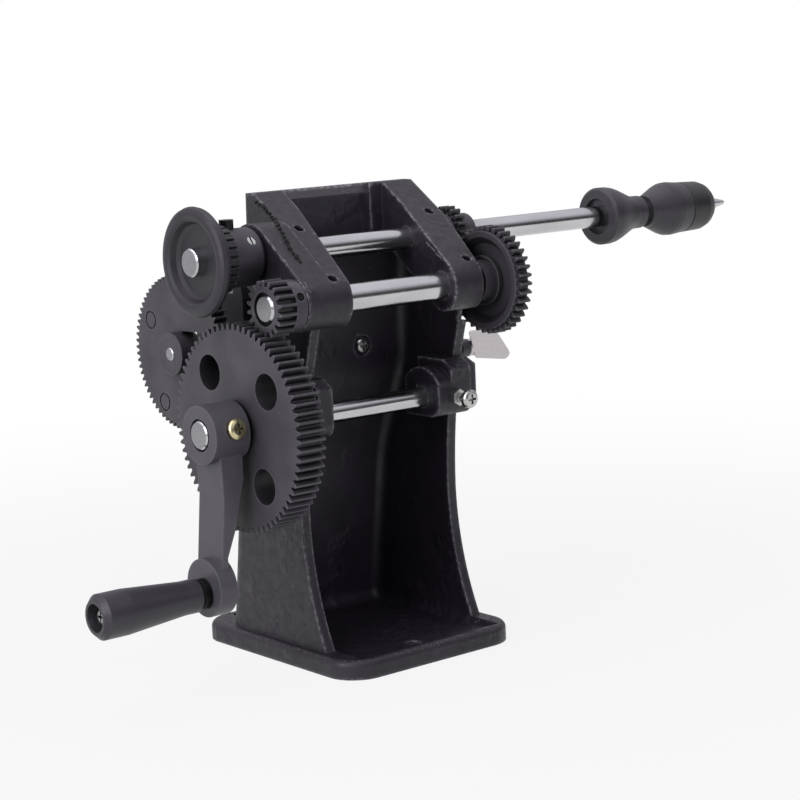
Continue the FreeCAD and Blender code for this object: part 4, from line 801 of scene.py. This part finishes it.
def figure_tree(ink):
    """Ten figures on a strip, rolled round the X axis: sizes in metres and the first angle."""
    tree = bpy.data.node_groups.new("wheel_figures", "GeometryNodeTree")
    sockets = {}
    for label in ("Height", "Radius", "Ink", "Middle X", "Axis Y", "Axis Z", "First Angle"):
        sockets[label] = tree_input(tree, label)
    tree.interface.new_socket("Figures", in_out="OUTPUT", socket_type="NodeSocketGeometry")
    given = add(tree, "NodeGroupInput").outputs
    pitch = add(
        tree, "ShaderNodeMath", {0: given["Radius"], 1: math.tau / 10}, operation="MULTIPLY"
    ).outputs[0]
    strip = add(tree, "GeometryNodeJoinGeometry")
    for figure in range(10):
        text = add(
            tree,
            "GeometryNodeStringToCurves",
            {"String": str(figure), "Size": given["Height"]},
            align_x="CENTER",
            align_y="MIDDLE",
        )
        up = add(tree, "ShaderNodeMath", {0: pitch, 1: float(figure)}, operation="MULTIPLY").outputs[0]
        up = add(tree, "ShaderNodeCombineXYZ", {"Y": up}).outputs[0]
        moved = add(tree, "GeometryNodeTransform", {"Geometry": text.outputs[0], "Translation": up})
        tree.links.new(moved.outputs[0], strip.inputs[0])
    flat = add(tree, "GeometryNodeRealizeInstances", {0: strip.outputs[0]})
    short = add(
        tree, "ShaderNodeMath", {0: given["Height"], 1: OUTLINE_STEP}, operation="MULTIPLY"
    ).outputs[0]
    even = add(
        tree, "GeometryNodeResampleCurve", {"Curve": flat.outputs[0], "Length": short}, mode="LENGTH"
    )
    filled = add(tree, "GeometryNodeFillCurve", {"Curve": even.outputs[0]})
    at = add(tree, "GeometryNodeInputPosition").outputs[0]
    at = add(tree, "ShaderNodeSeparateXYZ", {0: at}).outputs
    turn = add(tree, "ShaderNodeMath", {0: at["Y"], 1: given["Radius"]}, operation="DIVIDE").outputs[0]
    turn = add(
        tree, "ShaderNodeMath", {0: given["First Angle"], 1: turn}, operation="SUBTRACT"
    ).outputs[0]
    across = add(tree, "ShaderNodeMath", {0: turn}, operation="COSINE").outputs[0]
    rise = add(tree, "ShaderNodeMath", {0: turn}, operation="SINE").outputs[0]
    x = add(tree, "ShaderNodeMath", {0: at["X"], 1: given["Middle X"]}).outputs[0]
    y = add(
        tree,
        "ShaderNodeMath",
        {0: across, 1: given["Radius"], 2: given["Axis Y"]},
        operation="MULTIPLY_ADD",
    )
    z = add(
        tree,
        "ShaderNodeMath",
        {0: rise, 1: given["Radius"], 2: given["Axis Z"]},
        operation="MULTIPLY_ADD",
    )
    rolled = add(tree, "ShaderNodeCombineXYZ", {0: x, 1: y.outputs[0], 2: z.outputs[0]}).outputs[0]
    rolled = add(
        tree, "GeometryNodeSetPosition", {"Geometry": filled.outputs[0], "Position": rolled}
    ).outputs[0]
    thick = add(
        tree,
        "GeometryNodeExtrudeMesh",
        {"Mesh": rolled, "Offset Scale": given["Ink"], "Individual": False},
    )
    back = add(tree, "GeometryNodeFlipFaces", {"Mesh": rolled})
    both = add(tree, "GeometryNodeJoinGeometry", {0: thick.outputs[0]})
    tree.links.new(back.outputs[0], both.inputs[0])
    closed = add(
        tree, "GeometryNodeMergeByDistance", {"Geometry": both.outputs[0], "Distance": SAME_POINT}
    )
    plain = add(tree, "GeometryNodeRealizeInstances", {0: closed.outputs[0]})
    done = add(tree, "GeometryNodeSetMaterial", {"Geometry": plain.outputs[0], "Material": ink})
    add(tree, "NodeGroupOutput", {0: done.outputs[0]})
    return tree, sockets


# %% [markdown]
# A modifier runs the tree. Its inputs are set by the identifiers of the sockets, and the result is
# taken as a plain mesh, because other programs know nothing of modifiers.

# %% Running a tree
def run_tree(name, tree, values, start=None):
    """Plain mesh object from a node tree; values maps socket identifiers to numbers."""
    holder = bpy.data.objects.new(name, start or bpy.data.meshes.new(name))
    scene.collection.objects.link(holder)
    modifier = holder.modifiers.new("build", "NODES")
    modifier.node_group = tree
    for identifier, value in values.items():
        modifier[identifier] = value
    bpy.context.view_layer.update()
    result = holder.evaluated_get(bpy.context.evaluated_depsgraph_get())
    shape = bpy.data.meshes.new_from_object(result)
    holder.modifiers.clear()
    holder.data = shape
    shape.name = name
    return holder


# %% Figures
WHEEL_BODIES = {
    "units_wheel": "counter_input",
    "tens_wheel": "tens",
    "hundreds_wheel": "hundreds",
    "thousands_wheel": "thousands",
}
WINDOW_ANGLE = math.radians(45)
INK_SINKS = 0.00001

figures, figure_sockets = figure_tree(pad_printed_ink())
for wheel, body in WHEEL_BODIES.items():
    low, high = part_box(wheel)
    values = {
        "Height": FIGURE_HIGH_MM / 1000,
        "Radius": (high.z - low.z) / 2 - INK_SINKS,
        "Ink": INK_MM / 1000,
        "Middle X": (low.x + high.x) / 2,
        "Axis Y": (low.y + high.y) / 2,
        "Axis Z": (low.z + high.z) / 2,
        "First Angle": WINDOW_ANGLE,
    }
    numbers = {figure_sockets[label]: value for label, value in values.items()}
    piece = run_tree(wheel + "_figures", figures, numbers)
    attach(piece, body)
    print(piece.name, len(piece.data.polygons), "faces")

# %% [markdown]
# ## Lumps that the sand left
# A casting keeps small beads where the sand let go, and a ragged seam where the two halves of the
# mould met or where a grinder stopped. The photograph shows such a seam along the top of the left
# ear, and chipped corners on both ears. Beads are scattered on faces by a seed, seams follow a short
# path. Both are a few hundred tiny balls of twenty faces, which cost next to nothing.

# %% Bead tree
MOST_PER_SQUARE_METRE = 60000.0
TURNED_ANY_WAY = (6.28, 6.28, 6.28)


def bead_tree(name, on_faces, finish):
    """Small uneven beads, scattered on faces or strung along an edge path."""
    tree = bpy.data.node_groups.new(name, "GeometryNodeTree")
    sockets = {}
    tree_input(tree, "Start", "NodeSocketGeometry")
    for label in ("Spacing", "Smallest", "Largest", "Scatter"):
        sockets[label] = tree_input(tree, label)
    sockets["Seed"] = tree_input(tree, "Seed", "NodeSocketInt")
    tree.interface.new_socket("Beads", in_out="OUTPUT", socket_type="NodeSocketGeometry")
    given = add(tree, "NodeGroupInput").outputs
    if on_faces:
        spots = add(
            tree,
            "GeometryNodeDistributePointsOnFaces",
            {
                "Mesh": given["Start"],
                "Distance Min": given["Spacing"],
                "Density Max": MOST_PER_SQUARE_METRE,
                "Seed": given["Seed"],
            },
            distribute_method="POISSON",
        ).outputs[0]
    else:
        line = add(tree, "GeometryNodeMeshToCurve", {"Mesh": given["Start"]}).outputs[0]
        line = add(
            tree, "GeometryNodeResampleCurve", {"Curve": line, "Length": given["Spacing"]}, mode="LENGTH"
        ).outputs[0]
        spots = add(tree, "GeometryNodeCurveToPoints", {"Curve": line}, mode="EVALUATED").outputs[0]
    back = add(tree, "ShaderNodeMath", {0: given["Scatter"], 1: -1.0}, operation="MULTIPLY").outputs[0]
    least = add(tree, "ShaderNodeCombineXYZ", {axis: back for axis in range(3)}).outputs[0]
    most = add(tree, "ShaderNodeCombineXYZ", {axis: given["Scatter"] for axis in range(3)}).outputs[0]
    shift = add(
        tree,
        "FunctionNodeRandomValue",
        {0: least, 1: most, "Seed": given["Seed"]},
        data_type="FLOAT_VECTOR",
    ).outputs[0]
    spots = add(tree, "GeometryNodeSetPosition", {"Geometry": spots, "Offset": shift}).outputs[0]
    ball = add(tree, "GeometryNodeMeshIcoSphere", {"Radius": 1.0, "Subdivisions": 1}).outputs[0]
    width = add(
        tree,
        "FunctionNodeRandomValue",
        {2: given["Smallest"], 3: given["Largest"], "Seed": given["Seed"]},
        data_type="FLOAT",
    ).outputs[1]
    tilt = add(
        tree,
        "FunctionNodeRandomValue",
        {0: (0.0, 0.0, 0.0), 1: TURNED_ANY_WAY, "Seed": given["Seed"]},
        data_type="FLOAT_VECTOR",
    ).outputs[0]
    beads = add(
        tree,
        "GeometryNodeInstanceOnPoints",
        {"Points": spots, "Instance": ball, "Rotation": tilt, "Scale": width},
    ).outputs[0]
    beads = add(tree, "GeometryNodeRealizeInstances", {0: beads}).outputs[0]
    beads = add(tree, "GeometryNodeSetShadeSmooth", {0: beads}).outputs[0]
    beads = add(tree, "GeometryNodeSetMaterial", {"Geometry": beads, "Material": finish}).outputs[0]
    add(tree, "NodeGroupOutput", {0: beads})
    return tree, sockets


def strand(name, paths_mm):
    """Mesh of edges only, through points given in millimetres."""
    points = []
    links = []
    for path_mm in paths_mm:
        links += [(len(points) + i, len(points) + i + 1) for i in range(len(path_mm) - 1)]
        points += [tuple(v / 1000 for v in point) for point in path_mm]
    mesh = bpy.data.meshes.new(name)
    mesh.from_pydata(points, links, [])
    return mesh


# %% [markdown]
# The seam starts on the side of the left ear and crosses on to the boss. The chipped corners follow
# the front of the bosses and an edge of the right ear, and the worn spots follow the lip of the base,
# where a casting is knocked most. The points are in millimetres.

# %% Where the beads run
EAR_SEAM = [
    (-46.6, -1.0, 211.3),
    (-46.6, -5.3, 209.6),
    (-46.6, -8.2, 207.9),
    (-46.6, -11.0, 206.2),
    (-46.9, -14.2, 204.2),
    (-48.6, -18.0, 203.1),
    (-50.9, -22.8, 201.4),
    (-51.9, -26.8, 198.6),
    (-53.0, -31.0, 195.4),
    (-54.1, -35.1, 192.1),
    (-54.3, -38.7, 189.3),
    (-54.1, -41.9, 186.8),
]
CHIPPED = [
    [(-59.4, -51.8, 179.1), (-60.2, -53.6, 177.6), (-60.3, -55.1, 176.1), (-59.5, -56.0, 174.8)],
    [(20.6, -53.6, 177.6), (20.6, -55.6, 175.4), (20.6, -56.9, 172.6)],
    [(20.6, -38.0, 188.4), (20.6, -44.0, 184.4), (20.6, -49.0, 181.1)],
]
WORN_LIP = [
    [
        (-48.9, 26.0, 8.2),
        (-49.4, 8.0, 8.0),
        (-49.4, -22.0, 8.0),
        (-49.4, -40.0, 8.0),
        (-47.9, -48.5, 8.0),
        (-44.8, -54.0, 8.0),
        (-40.0, -57.4, 8.0),
        (-34.0, -58.6, 8.0),
        (-5.0, -58.6, 8.0),
        (13.0, -58.5, 8.0),
        (24.0, -56.7, 8.8),
    ],
    [(34.0, -47.5, 8.6), (39.5, -46.0, 8.7), (44.7, -46.6, 8.8), (47.0, -42.0, 8.8)],
]
print("paths", 1 + len(CHIPPED) + len(WORN_LIP))

# %% [markdown]
# Bare iron shows where the enamel broke off, so the chips get a finish of their own: dull grey and
# grainy. The seam's beads take the same iron nearly black, a painted shade for the dark groove of the
# seam.

# %% Bare iron
IRON_SPOT_MM = 0.5


def bare_iron(name, dark, light):
    """Bare cast iron: dull, grainy and hardly metallic."""
    material, tree = new_material(name)
    spots = grain(tree, IRON_SPOT_MM, detail=4.0)
    iron = add(tree, "ShaderNodeMix", {0: spots, 6: colour(dark), 7: colour(light)}, data_type="RGBA")
    roughness = add(tree, "ShaderNodeMapRange", {"Value": spots, "To Min": 0.5, "To Max": 0.75})
    bump = add(tree, "ShaderNodeBump", {"Height": spots, "Strength": 0.5, "Distance": 0.0002})
    skin = add(
        tree,
        "ShaderNodeBsdfPrincipled",
        {
            "Base Color": iron.outputs[2],
            "Metallic": 0.4,
            "Roughness": roughness.outputs[0],
            "Normal": bump.outputs[0],
        },
    )
    add(tree, "ShaderNodeOutputMaterial", {"Surface": skin.outputs[0]})
    return material


SEAM_SHADE_IRON = bare_iron("dirty_cast_iron", "#0A090B", "#242225")
BARE_IRON = bare_iron("bare_cast_iron", "#4A4646", "#8A8788")
print("iron nodes", len(BARE_IRON.node_tree.nodes))

# %% [markdown]
# A random shift keeps the beads from standing in a row. It goes in every direction and is larger than
# many of the beads, and two of the short paths lie beside the casting, so some of these beads hang in
# the air next to it. Geometry Proximity, which finds the nearest face for a point, would set them down.

# %% Seam, chips and worn spots
def beads(name, tree_and_sockets, start, spacing_mm, smallest_mm, largest_mm, scatter_mm, seed):
    """Beads that ride on the frame; smallest and largest are radii."""
    tree, sockets = tree_and_sockets
    sizes = {"Spacing": spacing_mm, "Smallest": smallest_mm, "Largest": largest_mm, "Scatter": scatter_mm}
    values = {sockets[label]: value / 1000 for label, value in sizes.items()}
    values[sockets["Seed"]] = seed
    piece = run_tree(name, tree, values, start)
    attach(piece, "frame")
    print(name, len(piece.data.polygons), "faces")


# The seam is a string of near-black beads: painted shade where the groove lies.
beads(
    "ear_seam",
    bead_tree("seam_beads", False, SEAM_SHADE_IRON),
    strand("ear_seam", [EAR_SEAM]),
    spacing_mm=0.3,
    smallest_mm=0.4,
    largest_mm=1.0,
    scatter_mm=0.6,
    seed=7,
)
beads(
    "chipped_corners",
    bead_tree("chip_beads", False, BARE_IRON),
    strand("chips", CHIPPED),
    spacing_mm=0.4,
    smallest_mm=0.15,
    largest_mm=0.4,
    scatter_mm=0.4,
    seed=3,
)
beads(
    "worn_lip",
    bead_tree("lip_beads", False, BARE_IRON),
    strand("lip", WORN_LIP),
    spacing_mm=0.9,
    smallest_mm=0.1,
    largest_mm=0.34,
    scatter_mm=0.7,
    seed=5,
)

# %% [markdown]
# The last beads are enamelled over and lie on the outer faces of the frame, so the first step is
# a copy of those faces. They have no random shift and stay half sunk in the skin. The CAD mesh itself
# is never changed. Faces are chosen, in millimetres, by where they are and which way they look.

# %% Beads on the outer faces
WALL_SIDE = 45.8
WALL_BEHIND = 30
WALL_FROM = 12
SIDE_UP_TO = 100
REAR_UP_TO = 110
BASE_TOP = 9.5
BASE_SIDE = 46
BASE_BEHIND = 40
BASE_FRONT = -52
SQUARE_ON = 0.9
UPWARD = 0.5
SAME_CORNER = 0.00001


def outer_faces():
    """Copy of the frame's outer side faces and the top of its base."""
    shell = bmesh.new()
    shell.from_mesh(nodes["frame_casting"].data)
    drop = []
    for face in shell.faces:
        middle = face.calc_center_median() * 1000
        on_side = abs(middle.x) > WALL_SIDE and WALL_FROM < middle.z < SIDE_UP_TO
        on_rear = middle.y > WALL_BEHIND and WALL_FROM < middle.z < REAR_UP_TO
        on_rim = abs(middle.x) > BASE_SIDE or middle.y > BASE_BEHIND or middle.y < BASE_FRONT
        side = on_side and abs(face.normal.x) > SQUARE_ON
        rear = on_rear and face.normal.y > SQUARE_ON
        base = on_rim and middle.z < BASE_TOP and face.normal.z > UPWARD
        if not (side or rear or base):
            drop.append(face)
    bmesh.ops.delete(shell, geom=drop, context="FACES")
    bmesh.ops.remove_doubles(shell, verts=shell.verts, dist=SAME_CORNER)
    mesh = bpy.data.meshes.new("outer_faces")
    shell.to_mesh(mesh)
    shell.free()
    return mesh


ENAMEL = sand_cast_enamel("black_enamel_on_beads", worn=0.0)
beads(
    "casting_beads",
    bead_tree("face_beads", True, ENAMEL),
    outer_faces(),
    spacing_mm=9.0,
    smallest_mm=0.15,
    largest_mm=0.4,
    scatter_mm=0.0,
    seed=11,
)
